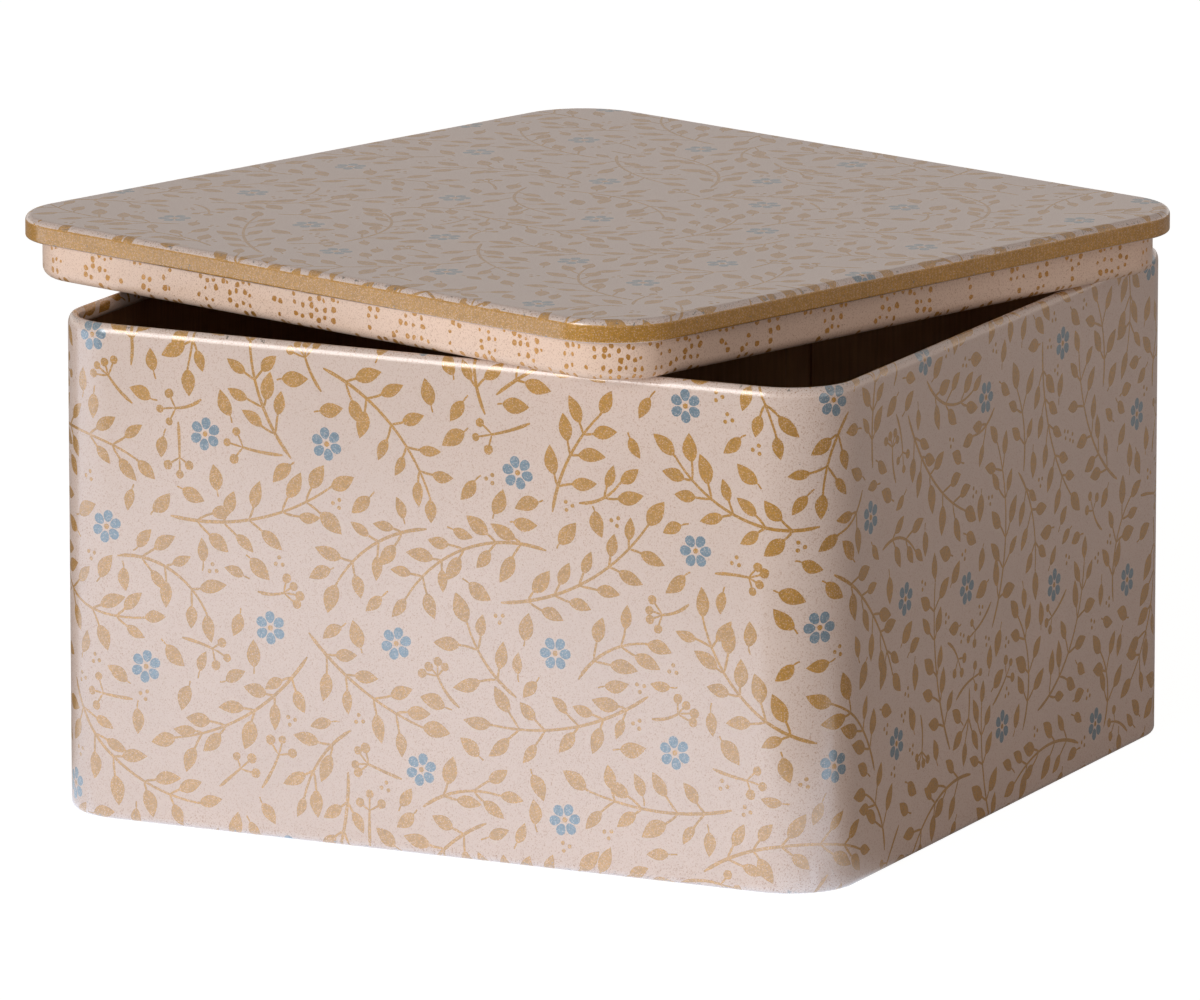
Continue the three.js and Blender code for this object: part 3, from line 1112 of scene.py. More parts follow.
def face_value(tree, name):
    return add_node(tree, "ShaderNodeAttribute", attribute_name=name).outputs["Fac"]


def ink_mask(tree, ink_value, number):
    return math_node(tree, "COMPARE", ink_value, float(number), 0.4)


def printed_finish(name, coat, ink_coat):
    material, tree, output = new_material(name)
    where = object_place(tree)
    ink = face_value(tree, "ink")
    is_blue, is_band = ink_mask(tree, ink, BLUE), ink_mask(tree, ink, GOLD_BAND)
    is_gold = plus(tree, ink_mask(tree, ink, GOLD), is_band)
    rub = face_value(tree, "rub")
    worn = group_node(tree, wear, {"Vector": where, "Rub": rub})["Worn"]
    base = speckled(tree, where, CREAM, plus(tree, 0.7, times(tree, rub, 0.9)))
    gilt = metallic_ink(tree, where, GILT, CREAM, GILT_PINHOLES)
    petals = metallic_ink(tree, where, PETAL, CREAM, PETAL_PINHOLES)
    colour = blend_colour(tree, is_gold, base, gilt["Colour"])
    colour = blend_colour(tree, is_blue, colour, petals["Colour"])
    colour = blend_colour(tree, worn, colour, WORN_TIN)
    inked = plus(tree, is_gold, is_blue)
    polish = ramp(tree, rub, RUBBED, POLISHED)
    gloss = blend_number(tree, polish, blend_number(tree, inked, coat, ink_coat), 1.0)
    gloss = blend_number(tree, is_band, gloss, BAND_COAT)
    leafed = plus(tree, LEAST_FLAKES, times(tree, gilt["Flakes"], MORE_FLAKES))
    metal = plus(tree, times(tree, is_gold, leafed), TIN_SHINE)
    metal = blend_number(tree, worn, metal, WORN_SHINE)
    rough = plus(tree, VARNISH_ROUGH, times(tree, is_gold, INK_ROUGHER))
    finish_sheet(tree, output, where, PRINT_RIPPLE, {
        "Base Color": colour, "Metallic": metal, "Roughness": rough, "Coat Weight": gloss,
        "Coat Roughness": 0.18, "Coat IOR": 2.5, "Specular IOR Level": 0.1,
    })
    return material


printed_cream = printed_finish("cream print", 0.38, 0.8)
printed_lid = printed_finish("lid print", 0.6, 0.65)
print("finishes:", printed_cream.name, "and", printed_lid.name)

# %% Bare finish
ALONG_THE_ROLL = (1.0, 1.0, 0.06)
STREAKS, BLOTCHES = 1500, 45
STREAK_SHARE, BLOTCH_SHARE, STREAK_ROUGH = 0.35, 0.65, 0.15


def bare_finish(name, colour, shade, roughness, metallic):
    material, tree, output = new_material(name)
    where = object_place(tree)
    drawn = {"Vector": where, "Scale": ALONG_THE_ROLL}
    rolled = add_node(tree, "ShaderNodeMapping", drawn).outputs[0]
    streaks = noise(tree, rolled, STREAKS, 2, 0.6)
    blotch = noise(tree, where, BLOTCHES, 3)
    mix = plus(tree, times(tree, streaks, STREAK_SHARE), times(tree, blotch, BLOTCH_SHARE))
    tone = blend_colour(tree, ramp(tree, mix, 0.35, 0.65), colour, shade)
    rough = plus(tree, roughness, times(tree, streaks, STREAK_ROUGH))
    finish_sheet(tree, output, where, BARE_RIPPLE, {
        "Base Color": tone, "Metallic": metallic, "Roughness": rough,
    })
    return material


lacquer = bare_finish("lacquered inside", srgb(188, 140, 98), srgb(152, 108, 72), 0.42, 0.4)
tinplate = bare_finish("bare tinplate", srgb(168, 163, 154), srgb(140, 134, 126), 0.36, 0.9)
print("finishes:", lacquer.name, "and", tinplate.name)

# %% [markdown]
# ## The wall
# The wall's strip is laid out flat, printed, cut into triangles and bent. Lines
# that the bends need, such as the steps of each corner and the rows of the curled
# rim, are cut in as well. The print stops at a plain margin beside the lock seam,
# under the foot and inside the curl, where a printer leaves the metal free.

# %% Laying out the wall
STRAIGHT, ARC, QUARTER = quarter_lengths(BOX)
PRINT_MARGIN = 2.6
INK_FROM_MARGIN = 0.4
CUT_OVER = 0.2
TILE_HEIGHT = 28
PRINT_LOW = wall_along[FOOT_STARTS] - 0.8
PRINT_HIGH = wall_along[CURL_INSIDE]
TOSSED_BELOW, TOSSED_ABOVE = 6, 4


def corner_stations(outline):
    """The distances around an outline at which its corners are stepped."""
    straight, arc, quarter = quarter_lengths(outline)
    steps = range(CORNER_STEPS + 1)
    return [q * quarter + straight + arc * i / CORNER_STEPS for q in range(4) for i in steps]


seam_lines = [SEAM_GROOVE[0] / 2, SEAM_GROOVE[0], PRINT_MARGIN]
seam_lines += [WALL_LENGTH - s for s in seam_lines]
across = sorted(corner_stations(BOX) + seam_lines)
tile_across = [0.0]
for q in range(4):
    start = q * QUARTER
    tile_across += [start + STRAIGHT / 2, start + STRAIGHT, start + STRAIGHT + ARC]
    tile_across += [start + STRAIGHT + ARC + STRAIGHT / 2, start + QUARTER]
foot_end, strip_top = float(wall_along[FOOT_ENDS]), float(wall_along[-1])
tile_up = [0.0, foot_end + TILE_HEIGHT, foot_end + 2 * TILE_HEIGHT, strip_top]
rows_up = list(wall_along[1:-1]) + [PRINT_LOW, PRINT_HIGH]


def wall_lines(low, high):
    """The straight lines that cross a tile, across and along the strip."""
    lines = [[(s, low[1]), (s, high[1])] for s in across if low[0] < s < high[0]]
    lines += [[(low[0], v), (high[0], v)] for v in rows_up if low[1] < v < high[1]]
    return lines


def clear_of_seam(spots):
    room = PRINT_MARGIN + INK_FROM_MARGIN
    return spots[:, 0].min() > room and spots[:, 0].max() < WALL_LENGTH - room


def held_to_print(outlines):
    """Outlines that hang over the print's upper or lower limit are cut off there."""
    kept = []
    for ink, points in outlines:
        if points[:, 1].max() > PRINT_LOW and points[:, 1].min() < PRINT_HIGH:
            held = np.clip(points[:, 1], PRINT_LOW - CUT_OVER, PRINT_HIGH + CUT_OVER)
            kept.append((ink, np.column_stack([points[:, 0], held])))
    return kept


tossed = toss((0, PRINT_LOW - TOSSED_BELOW), (WALL_LENGTH, PRINT_HIGH + TOSSED_ABOVE), 7, clear_of_seam)
wall_print = held_to_print(tossed)
covered = sum(polygon_area(outline) for _, outline in wall_print)
print(len(wall_print), "outlines, ink on", round(100 * covered / (WALL_LENGTH * strip_top)), "%")

# %% Wear and places in the texture
BAKE_GAP = 0.006
SIDE_SPAN = (1 - 3 * BAKE_GAP) / 2
# How far from the rim, the foot and the corners the wear reaches, and its share there.
RIM_WEAR, FOOT_WEAR, CORNER_WEAR = (1.1, 1.0), (1.2, 0.8), (8, 0.3)


def near(value, middle, reach):
    return np.exp(-(((value - middle) / reach) ** 2))


def wall_rub(flat):
    """Where hands and shelves rub the wall: its rim, its foot and a little at its corners."""
    from_corner = np.abs(flat[:, 0] % QUARTER - QUARTER / 2)
    rub = RIM_WEAR[1] * near(flat[:, 1], wall_along[CREST], RIM_WEAR[0])
    rub += FOOT_WEAR[1] * near(flat[:, 1], wall_along[FOOT_HALFWAY], FOOT_WEAR[0])
    return np.minimum(rub + CORNER_WEAR[1] * near(from_corner, 0, CORNER_WEAR[0]), 1)


def bake_by_side(flat, q):
    """Places in the texture: the four printed sides in two rows of two."""
    scale = SIDE_SPAN / QUARTER
    u = BAKE_GAP + (flat[:, 0] - q * QUARTER) * scale + (q % 2) * (SIDE_SPAN + BAKE_GAP)
    v = 1 - BAKE_GAP - (strip_top - flat[:, 1]) * scale
    return np.column_stack([u, v - (q // 2) * (strip_top * scale + BAKE_GAP)])


print("wear at the rim:", wall_rub(np.array([[0.0, wall_along[CREST]]])).round(2)[0])

# %% The lock seam
SEAM_HALF, SEAM_FOOT, SEAM_HEAD = 2.5, 1.6, 84.6
SEAM_ROOT, SEAM_BEVEL, SEAM_DEPTH = 0.2, 0.25, SHEET * 4
WALL_EDGES_BAKED_AT = (0.5, 0.2)


def lock_seam_patch():
    """The folded plies that stand proud inside, at the middle of the back."""
    shoulder = SEAM_DEPTH - SEAM_BEVEL
    half_profile = [(SEAM_HALF, SEAM_ROOT), (SEAM_HALF, shoulder), (SEAM_HALF - SEAM_BEVEL, SEAM_DEPTH)]
    profile = [(-x, inset) for x, inset in half_profile] + half_profile[::-1]
    points = [(x, BOX["half"] - inset, z) for z in (SEAM_FOOT, SEAM_HEAD) for x, inset in profile]
    count = len(profile)
    faces = []
    for i in range(count):
        j = (i + 1) % count
        faces += [(i, j, j + count), (i, j + count, i + count)]
    for i in range(1, count - 1):
        faces += [(0, i, i + 1), (count, count + i, count + i + 1)]
    points, faces = np.array(points) + BOX_PLACE, np.array(faces)
    normals = flat_normals(points, faces)
    outward = points[faces].mean(1) - points.mean(0)
    normals *= np.sign((normals * outward).sum(1))[:, None]
    return plain_patch(points, faces, normals, WALL_EDGES_BAKED_AT)


lock_seam = lock_seam_patch()
print("the lock seam is", 2 * SEAM_HALF, "mm wide, with", len(lock_seam["triangles"]), "triangles")

# %% The wall's mesh
INSIDE_SCALE = (1 - 2 * BAKE_GAP) / WALL_LENGTH
A_LITTLE = 0.5


def on_wall(flat, offset):
    return into_place(*bend_wall(flat, offset), np.array(BOX_PLACE), BOX_TURN)


def make_wall():
    flat, triangles, ink = cut_sheet(tile_across, tile_up, wall_lines, wall_print)
    middles = flat[triangles].mean(1)
    ink[(middles[:, 1] < PRINT_LOW) | (middles[:, 1] > PRINT_HIGH)] = GROUND
    side_of = np.repeat(np.clip(np.floor(middles[:, 0] / QUARTER), 0, 3), 3)
    bake = bake_by_side(flat[triangles].reshape(-1, 2), side_of).reshape(-1, 3, 2)
    bent = on_wall(flat, SHEET / 2)
    patches = [patch(bent[0], triangles, bent[1], ink, PRINTED, flat, bake, wall_rub(flat))]
    flat, triangles, ink = cut_sheet(tile_across, tile_up, wall_lines, [])
    bake = BAKE_GAP + flat[triangles] * INSIDE_SCALE
    bent = on_wall(flat, -SHEET / 2)
    patches.append(patch(bent[0], triangles, bent[1], ink, BARE, flat, bake, 0 * flat[:, 0]))
    stations = np.unique(np.round(across + tile_across, 6))[:-1]
    for edge, inwards in ((0.0, A_LITTLE), (strip_top, -A_LITTLE)):
        line = np.column_stack([stations, np.full(len(stations), edge)])
        outside, within = on_wall(line, SHEET / 2)[0], on_wall(line, -SHEET / 2)[0]
        on_sheet = on_wall(line[:1] + [0, inwards], SHEET / 2)[0][0]
        patches.append(edge_patch(outside, within, WALL_EDGES_BAKED_AT, outside[0] - on_sheet))
    return write_piece("wall_dressed", patches + [lock_seam], [printed_cream, lacquer])


wall = make_wall()
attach(wall, "box")
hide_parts("body_wall")
print("the wall is", [round(d / MM, 2) for d in wall.dimensions], "mm")

# %% [markdown]
# ## The lid's top
# The top begins as a flat blank, a rounded square a little larger than the lid.
# What lies beyond the plate is pressed down over a rounded edge into the band and
# turned in as a hem, so a flat point needs only its distance beyond the plate.
# The band is printed solid gold, and leaves that reach it run into it.

# %% The lid's section
PLUG_DEPTH = 7.1
BAND_HEIGHT = 4.1
LID_HEIGHT = PLUG_DEPTH + BAND_HEIGHT
TOP_EDGE_RADIUS = 1.2
MOUTH_CLEARANCE = 0.4
PLUG_INSET = LID["half"] - (BOX["half"] - RIM_WIDTH - MOUTH_CLEARANCE)
HEM_BEND = 0.2
HEM_AT = HEM_BEND + SHEET
HEM_TO_PLUG = 0.4
PLATE = {"half": LID["half"] - TOP_EDGE_RADIUS, "radius": LID["radius"] - TOP_EDGE_RADIUS}
lid_rows = straight_on(
    bend_round((HEM_AT, PLUG_DEPTH + HEM_AT), HEM_BEND + SHEET / 2, -90, -180, 5)
    + bend_round(
        (TOP_EDGE_RADIUS, LID_HEIGHT - TOP_EDGE_RADIUS), TOP_EDGE_RADIUS - SHEET / 2, 180, 90, 9
    ),
    PLUG_INSET - HEM_TO_PLUG, PLUG_DEPTH + SHEET / 2,
)
lid_along = distances_along(lid_rows)
# The row of the section on the hem's bend at which the solid gold ends.
HEM_TURNS = 4
BEYOND = float(lid_along[-1])
BAND_FROM = 1.4
BAND_TO = BEYOND - float(lid_along[HEM_TURNS])
def beyond_plate(flat, plate):
    """How far flat points lie beyond a rounded square, and the way its edge faces there."""
    core = plate["half"] - plate["radius"]
    over = np.abs(flat) - core
    sign = np.where(flat < 0, -1.0, 1.0)
    length = np.hypot(over[:, 0], over[:, 1]) + 1e-12
    corner = (over > 0).all(1)
    to_x = over[:, 0] >= over[:, 1]
    straight = np.column_stack([to_x, ~to_x]) * sign
    facing = np.where(corner[:, None], over * sign / length[:, None], straight)
    beyond = np.where(corner, length, over.max(1)) - plate["radius"]
    return beyond, facing


def bend_lid(flat, offset):
    """Places and normals of the lid's sheet: level on the plate, and bent beyond it."""
    beyond, facing = beyond_plate(flat, PLATE)
    reach = np.maximum(beyond, 0)
    outline = flat - facing * reach[:, None] + facing * TOP_EDGE_RADIUS
    places, normals = lift(outline, facing, lid_rows, lid_along, BEYOND - reach, offset)
    level = beyond <= 0
    places[level, :2] = flat[level]
    return places, normals


def on_lid(flat, offset):
    return into_place(*bend_lid(flat, offset), np.array(LID_PLACE), LID_TURN)


print("the blank reaches", round(BEYOND, 2), "mm beyond the plate")

# %% Laying out the lid's blank
TOSSED_BEYOND = 5


def ring(beyond):
    """The rounded square this far beyond the plate, as a closed line."""
    outline = {"half": PLATE["half"] + beyond, "radius": PLATE["radius"] + beyond}
    points = around(outline, corner_stations(outline))[0]
    return np.concatenate([points, points[:1]])


# The blank is cut in five by five tiles, of about the same size.
BLANK_HALF = PLATE["half"] + BEYOND
LID_CUTS = [-BLANK_HALF, -49.2, -16.4, 16.4, 49.2, BLANK_HALF]
ring_reaches = sorted({round(BEYOND - float(v), 6) for v in lid_along} | {BAND_FROM, BAND_TO})
rings = [ring(max(reach, 0.0)) for reach in ring_reaches]
spokes = [np.array([a, b]) for a, b in zip(ring(0.0)[:-1], ring(BEYOND)[:-1])]


def held_to_band(outlines):
    """Outlines that reach into the solid band end a little inside it."""
    kept = []
    for ink, points in outlines:
        beyond, facing = beyond_plate(points, PLATE)
        if beyond.min() < BAND_FROM:
            over = np.maximum(beyond - BAND_FROM - CUT_OVER, 0)
            kept.append((ink, points - facing * over[:, None]))
    return kept


tossed_to = PLATE["half"] + TOSSED_BEYOND
lid_print = held_to_band(toss((-tossed_to, -tossed_to), (tossed_to, tossed_to), 21))
print(len(lid_print), "outlines on the lid")

# %% The lid's mesh
TOP_IN_BAKE = 0.86
LID_EDGE_BAKED_AT = (0.93, 0.95)
# How far beyond the plate the wear is strongest, how far it spreads, and its share there.
EDGE_WEAR, HEM_WEAR = (0.9, 0.7, 1.0), (BAND_TO, 0.5, 0.8)


def lid_face(outlines, offset):
    """One face of the lid's sheet: the printed one, or the bare one for an offset below 0."""
    flat, triangles, ink = cut_sheet(LID_CUTS, LID_CUTS, lambda low, high: rings + spokes, outlines)
    beyond = beyond_plate(flat[triangles].mean(1), PLATE)[0]
    on_sheet = beyond < BEYOND
    triangles, ink, beyond = triangles[on_sheet], ink[on_sheet], beyond[on_sheet]
    across_blank = ((flat / BLANK_HALF + 1) / 2)[triangles]
    if offset > 0:
        ink[(beyond > BAND_FROM) & (beyond < BAND_TO)] = GOLD_BAND
        ink[beyond > BAND_TO] = GROUND
        at = beyond_plate(flat, PLATE)[0]
        rub = sum(share * near(at, middle, reach) for middle, reach, share in (EDGE_WEAR, HEM_WEAR))
        side, bake = PRINTED, BAKE_GAP + across_blank * (TOP_IN_BAKE - BAKE_GAP)
    else:
        rub = 0 * flat[:, 0]
        size = np.array([1 - TOP_IN_BAKE - 2 * BAKE_GAP, TOP_IN_BAKE])
        side, bake = BARE, [TOP_IN_BAKE + BAKE_GAP, BAKE_GAP] + across_blank * size
    points, normals = on_lid(flat, offset)
    return patch(points, triangles, normals, ink, side, flat, bake, rub)


def make_lid_top():
    on_cuts = []
    for cut in LID_CUTS[1:-1]:
        on_cuts += [(cut, BLANK_HALF), (cut, -BLANK_HALF), (BLANK_HALF, cut), (-BLANK_HALF, cut)]
    line = np.concatenate([ring(BEYOND)[:-1], np.array(on_cuts)])
    line = line[np.argsort(np.arctan2(line[:, 1], line[:, 0]))]
    outside, within = on_lid(line, SHEET / 2)[0], on_lid(line, -SHEET / 2)[0]
    inwards = (LID_PLACE - outside[0]) * [1, 1, 0]
    edge = edge_patch(outside, within, LID_EDGE_BAKED_AT, inwards)
    patches = [lid_face(lid_print, SHEET / 2), lid_face([], -SHEET / 2), edge]
    return write_piece("lid_top_dressed", patches, [printed_lid, tinplate])


lid_top = make_lid_top()
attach(lid_top, "lid")
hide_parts("lid_top_panel")
print("the lid's top is", [round(d / MM, 2) for d in lid_top.dimensions], "mm, turned on the box")

# %% [markdown]
# ## Plain pressed pieces
# The base and the lid's plug carry no cut print, so their shape follows one rule:
# a section carried around a rounded square, closed by a flat plate. That is work
# for Geometry Nodes. The piece's own mesh is the section line, the tree makes the
# rounded square, carries the section along it and fills the two open loops. Curve
# to Mesh puts a profile's x outwards and its y downwards, so both are mirrored.

# %% Sweep tree
FLOAT_INPUTS = ("Side", "Corner radius", "Upper plate height", "Lower plate height")
PLATES = (("Upper plate height", "GREATER_THAN"), ("Lower plate height", "LESS_THAN"))
MERGE_WITHIN = 2e-6


def sweep_tree():
    tree = bpy.data.node_groups.new("pressed sheet", "GeometryNodeTree")
    face = tree.interface
    face.new_socket("Section", in_out="INPUT", socket_type="NodeSocketGeometry")
    for label in FLOAT_INPUTS:
        face.new_socket(label, in_out="INPUT", socket_type=FLOAT)
    face.new_socket("Corner steps", in_out="INPUT", socket_type="NodeSocketInt")
    face.new_socket("Sheet metal", in_out="INPUT", socket_type="NodeSocketMaterial")
    face.new_socket("Geometry", in_out="OUTPUT", socket_type="NodeSocketGeometry")
    given = tree.nodes.new("NodeGroupInput").outputs

    def geo(kind, inputs=None, **settings):
        return add_node(tree, "GeometryNode" + kind, inputs, **settings).outputs[0]

    def compare(first, second, kind, operation):
        inputs = {2: first, 3: second} if kind == "INT" else {0: first, 1: second}
        settings = {"data_type": kind, "operation": operation}
        return add_node(tree, "FunctionNodeCompare", inputs, **settings).outputs[0]

    square = geo("CurvePrimitiveQuadrilateral", {0: given["Side"], 1: given["Side"]})
    corners = {"Curve": square, "Count": given["Corner steps"], "Radius": given["Corner radius"]}
    rounded = geo("FilletCurve", corners, mode="POLY")
    path = geo("SetCurveNormal", {"Curve": rounded}, mode="Z_UP")
    section = geo("MeshToCurve", {"Mesh": given["Section"]})
    swept = geo("CurveToMesh", {"Curve": path, "Profile Curve": section})
    on_border = compare(geo("InputMeshEdgeNeighbors"), 1, "INT", "EQUAL")
    place = geo("InputPosition")
    height = add_node(tree, "ShaderNodeSeparateXYZ", {0: place}).outputs["Z"]
    middle = plus(tree, given["Upper plate height"], given["Lower plate height"])
    middle = times(tree, middle, 0.5)
    plates = []
    for label, operation in PLATES:
        this_side = compare(height, middle, "FLOAT", operation)
        chosen = add_node(tree, "FunctionNodeBooleanMath", {0: on_border, 1: this_side}).outputs[0]
        border = geo("MeshToCurve", {"Mesh": swept, "Selection": chosen})
        filled = geo("FillCurve", {"Curve": border}, mode="NGONS")
        lifted = add_node(tree, "ShaderNodeCombineXYZ", {2: given[label]}).outputs[0]
        plates.append(geo("SetPosition", {"Geometry": filled, "Offset": lifted}))
    joined = tree.nodes.new("GeometryNodeJoinGeometry")
    for part in (swept, *plates):
        tree.links.new(part, joined.inputs[0])
    closed = geo("MergeByDistance", {"Geometry": joined.outputs[0], "Distance": MERGE_WITHIN})
    real = geo("RealizeInstances", {"Geometry": closed})
    dressed = geo("SetMaterial", {"Geometry": real, "Material": given["Sheet metal"]})
    tree.links.new(dressed, tree.nodes.new("NodeGroupOutput").inputs[0])
    return tree


pressed_sheet = sweep_tree()
print("the sweep tree has", len(pressed_sheet.nodes), "nodes")

# %% Normals and flat places
SHARP = math.radians(35)
LIES_FLAT = 0.9
PLATE_MAP_AT = 300
SAME_ANGLE = 1e-6


def points_of(mesh):
    points = np.zeros(len(mesh.vertices) * 3)
    mesh.vertices.foreach_get("co", points)
    return points.reshape(-1, 3)


def soft_normals(mesh):
    """Normals that let the big flat faces stay flat and the bends stay smooth."""
    count = len(mesh.polygons)
    facing, area = np.zeros(count * 3), np.zeros(count)
    mesh.polygons.foreach_get("normal", facing)
    mesh.polygons.foreach_get("area", area)
    facing = facing.reshape(-1, 3)
    at_point = [[] for _ in mesh.vertices]
    for face in mesh.polygons:
        for vertex in face.vertices:
            at_point[vertex].append(face.index)
    limit = math.cos(SHARP)
    normals = []
    for face in mesh.polygons:
        own = facing[face.index]
        for vertex in face.vertices:
            others = np.array(at_point[vertex])
            close = others[facing[others] @ own > limit]
            normal = (facing[close] * area[close, None]).sum(0)
            normals.append(normal / np.linalg.norm(normal))
    mesh.normals_split_custom_set(normals)


def flat_maps(mesh, outline):
    """Where each corner lies on the flat sheet: around the tin and up, or on the plate."""
    points = points_of(mesh) / MM
    straight, arc, quarter = quarter_lengths(outline)
    _, facing = beyond_plate(points[:, :2], outline)
    x, y = points[:, 0], points[:, 1]
    q = np.where(y > 0, np.where(x <= 0, 0, 3), np.where(x < 0, 1, 2))
    turn = -q * math.pi / 2
    px, py = turned(x, y, turn)
    nx, ny = turned(facing[:, 0], facing[:, 1], turn)
    angle = np.arctan2(-nx, ny)
    before_corner = angle < SAME_ANGLE
    past_corner = angle > math.pi / 2 - SAME_ANGLE
    run = np.where(past_corner, straight + arc + straight - py, straight + outline["radius"] * angle)
    distance = q * quarter + np.where(before_corner, -px, run)
    layer = mesh.uv_layers.new(name="flat_sheet")
    values = np.zeros((len(mesh.loops), 2))
    for face in mesh.polygons:
        loops, vertices = list(face.loop_indices), list(face.vertices)
        if abs(face.normal[2]) > LIES_FLAT:
            values[loops] = points[vertices, :2] + [0, PLATE_MAP_AT]
            continue
        s = distance[vertices]
        if s.max() - s.min() > 2 * quarter:
            s = np.where(s < 2 * quarter, s + 4 * quarter, s)
        values[loops] = np.column_stack([s, points[vertices, 2]])
    layer.uv.foreach_set("vector", (values * MM).ravel())


print("bends sharper than", round(math.degrees(SHARP)), "degrees keep their crease")

# %% A pressed piece
def set_inputs(modifier, values):
    """A modifier's inputs are set by their sockets' identifiers, not by their names."""
    for item in modifier.node_group.interface.items_tree:
        if item.item_type == "SOCKET" and item.in_out == "INPUT" and item.name in values:
            modifier[item.identifier] = values[item.name]


def offset_rows(rows, offset):
    """The line of a sheet's face: the section moved by half the thickness."""
    return [(u + offset * fu, z + offset * fz) for u, z, fu, fz in rows]


def pressed_piece(name, rows, outline, material, place, turn):
    """A plain mesh of a section swept around the outline, in its place on the tin."""
    line = offset_rows(rows, SHEET / 2)[::-1] + offset_rows(rows, -SHEET / 2)
    mesh = bpy.data.meshes.new(name + "_section")
    mesh.from_pydata(
        [(-u * MM, -z * MM, 0) for u, z in line], [(i, i + 1) for i in range(len(line) - 1)], []
    )
    pattern = new_object(name + "_section", mesh)
    modifier = pattern.modifiers.new("sweep", "NODES")
    modifier.node_group = pressed_sheet
    set_inputs(modifier, {
        "Side": outline["half"] * 2 * MM, "Corner radius": outline["radius"] * MM,
        "Upper plate height": line[0][1] * MM, "Lower plate height": line[-1][1] * MM,
        "Corner steps": CORNER_STEPS, "Sheet metal": material,
    })
    seen_by = bpy.context.evaluated_depsgraph_get()
    plain = bpy.data.meshes.new_from_object(pattern.evaluated_get(seen_by))
    bpy.data.objects.remove(pattern)
    plain.name = name
    weld(plain)
    flat_maps(plain, outline)
    soft_normals(plain)
    normals = np.array([tuple(c.vector) for c in plain.corner_normals])
    points, normals = into_place(points_of(plain), normals, np.array(place) * MM, turn)
    plain.vertices.foreach_set("co", points.ravel())
    plain.update()
    plain.normals_split_custom_set(normals.tolist())
    return new_object(name, plain)


print("a pressed piece takes its shape from", len(FLOAT_INPUTS), "lengths and its section")

# %% [markdown]
# ## The base
# The base is hooked into the wall's foot: wall and base are folded over each other
# into a flat seam of four plies, on which the tin stands, and a small step lifts
# the floor clear of the table.

# %% The base
FLOOR_RISE = 1.2
STEP_IN = 1
step = FLOOR_RISE / 2
rise_at, top_height = WALL_FOLD_AT + STEP_IN, ply(3) + step
base_rows = straight_on(
    bend_round((BASE_FOLD_AT, ply(2)), SHEET, -90, -270, 8)
    + bend_round((rise_at, top_height), step, -90, 0, 6)
    + bend_round((rise_at + FLOOR_RISE, top_height), step, 180, 90, 6)[1:],
    WALL_FOLD_AT - RAW_EDGE_GAP, ply(1),
)
base = pressed_piece("base_dressed", base_rows, BOX, tinplate, BOX_PLACE, BOX_TURN)
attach(base, "box")
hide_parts("base_panel")

# %% [markdown]
# ## The lid's plug
# The plug is a shallow drawn pan. Its collar stands inside the band and its flange
# lies on the hem, so the two sheets hold each other. Its side wears a blush ground
# with small gold dots in loose rows, which stretch where the corners were drawn.

# %% Dotted finish
BLUSH = srgb(240, 216, 198)
DOT_GOLD = srgb(200, 145, 70)
DOTS = 560.0
WOBBLES = 900.0
WOBBLE = (0.0006, 0.0006, 0)
DRAWN_UP = (1.0, 0.35, 1.0)
DOT_PINHOLES = 0.6
LEAST_DOT, MORE_DOT = 0.17, 0.15
CROWDS, CROWD_FROM = 210, 0.55


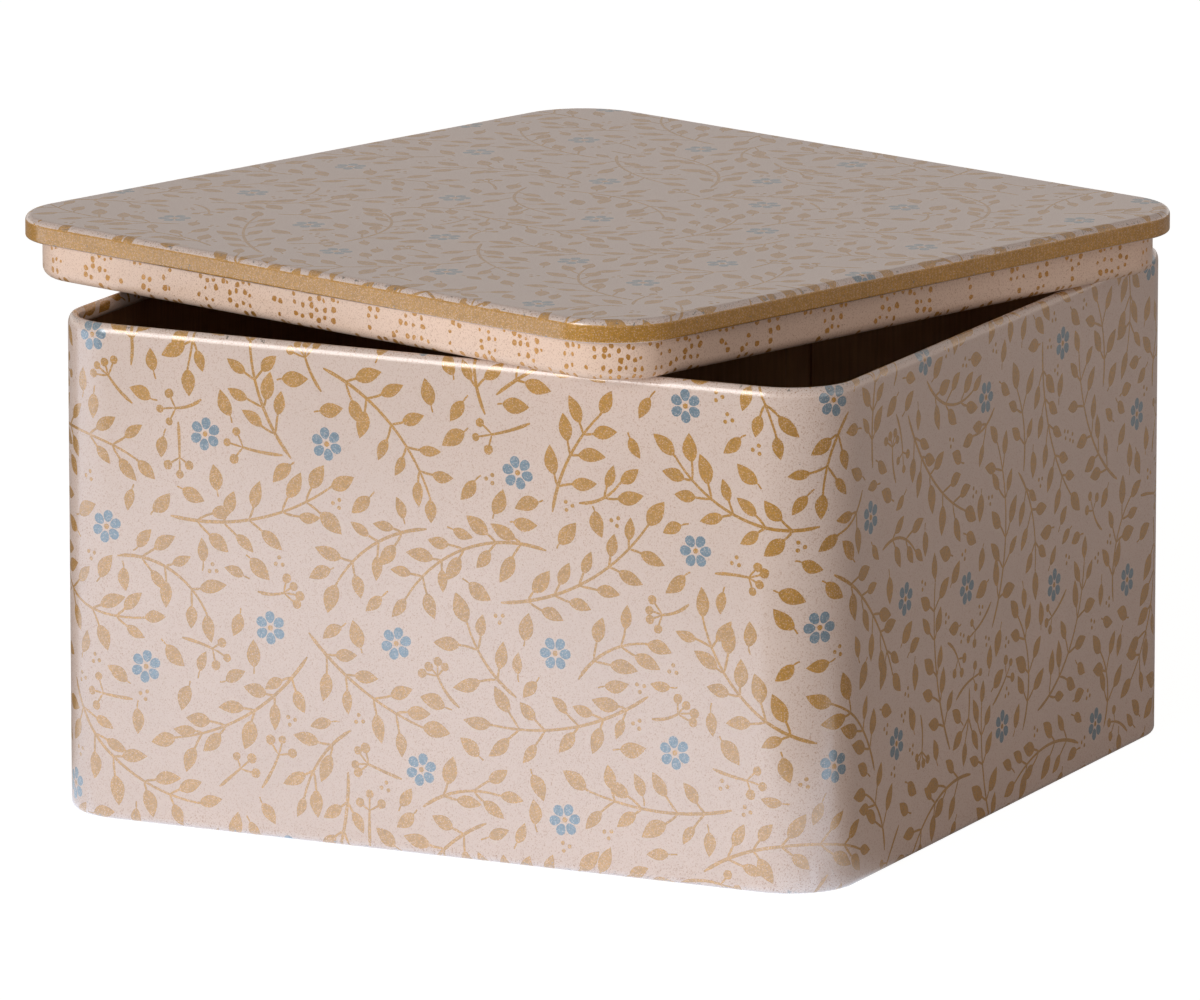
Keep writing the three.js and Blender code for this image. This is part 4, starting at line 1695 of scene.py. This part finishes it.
def dotted_finish(name):
    material, tree, output = new_material(name)
    where = object_place(tree)
    flat = add_node(tree, "ShaderNodeUVMap", uv_map="flat_sheet").outputs[0]
    waves = {"Vector": flat, "Scale": WOBBLES, "Detail": 1.0}
    wobble = add_node(tree, "ShaderNodeTexNoise", waves).outputs["Color"]
    shift = vector_math(tree, "SUBTRACT", wobble, (0.5, 0.5, 0.5))[0]
    shaken = vector_math(tree, "MULTIPLY_ADD", shift, WOBBLE, flat)[0]
    grid = {"Vector": shaken, "Scale": DOTS, "Randomness": 0.55}
    cells = add_node(tree, "ShaderNodeTexVoronoi", grid, voronoi_dimensions="2D").outputs
    chance = add_node(tree, "ShaderNodeSeparateColor", {0: cells["Color"]}).outputs
    reach = plus(tree, LEAST_DOT, times(tree, chance[0], MORE_DOT))
    spot = math_node(tree, "LESS_THAN", cells["Distance"], reach)
    drawn = {"Vector": cells["Position"], "Scale": DRAWN_UP}
    crowd = noise(tree, add_node(tree, "ShaderNodeMapping", drawn).outputs[0], CROWDS, 2, 0.6)
    crowd = plus(tree, crowd, times(tree, chance[1], 0.12))
    is_dot = times(tree, spot, math_node(tree, "GREATER_THAN", crowd, CROWD_FROM))
    gilt = metallic_ink(tree, where, DOT_GOLD, BLUSH, DOT_PINHOLES)
    colour = blend_colour(tree, is_dot, speckled(tree, where, BLUSH, 0.8), gilt["Colour"])
    metal = times(tree, is_dot, times(tree, gilt["Flakes"], 0.8))
    finish_sheet(tree, output, where, PRINT_RIPPLE, {
        "Base Color": colour, "Metallic": metal, "Roughness": 0.42, "Coat Weight": 0.4,
        "Coat Roughness": 0.2, "Specular IOR Level": 0.3,
    })
    return material


dotted_blush = dotted_finish("dotted blush print")
print("finish:", dotted_blush.name, "with", len(dotted_blush.node_tree.nodes), "nodes")

# %% The plug
GAP = 0.3
PAN_BEND = 0.5
PLUG_FOOT = 2.0
COLLAR_AT = SHEET + GAP + SHEET / 2
FLANGE_AT = PLUG_DEPTH + SHEET + GAP + SHEET / 2
PLUG_WALL_AT = PLUG_INSET + SHEET / 2
edge_centre = LID_HEIGHT - TOP_EDGE_RADIUS
inner_radius = TOP_EDGE_RADIUS - SHEET
headroom = math.sqrt(inner_radius**2 - (inner_radius - GAP) ** 2)
plug_rows = straight_on(
    bend_round((COLLAR_AT + PAN_BEND, FLANGE_AT + PAN_BEND), PAN_BEND, 180, 270, 5)
    + bend_round((PLUG_WALL_AT - PAN_BEND, FLANGE_AT - PAN_BEND), PAN_BEND, 90, 0, 5)
    + bend_round((PLUG_INSET + PLUG_FOOT, PLUG_FOOT), PLUG_FOOT - SHEET / 2, 180, 270, 8),
    COLLAR_AT, edge_centre + headroom - GAP,
)
plug = pressed_piece("plug_dressed", plug_rows, LID, dotted_blush, LID_PLACE, LID_TURN)
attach(plug, "lid")
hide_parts("lid_plug_pan")
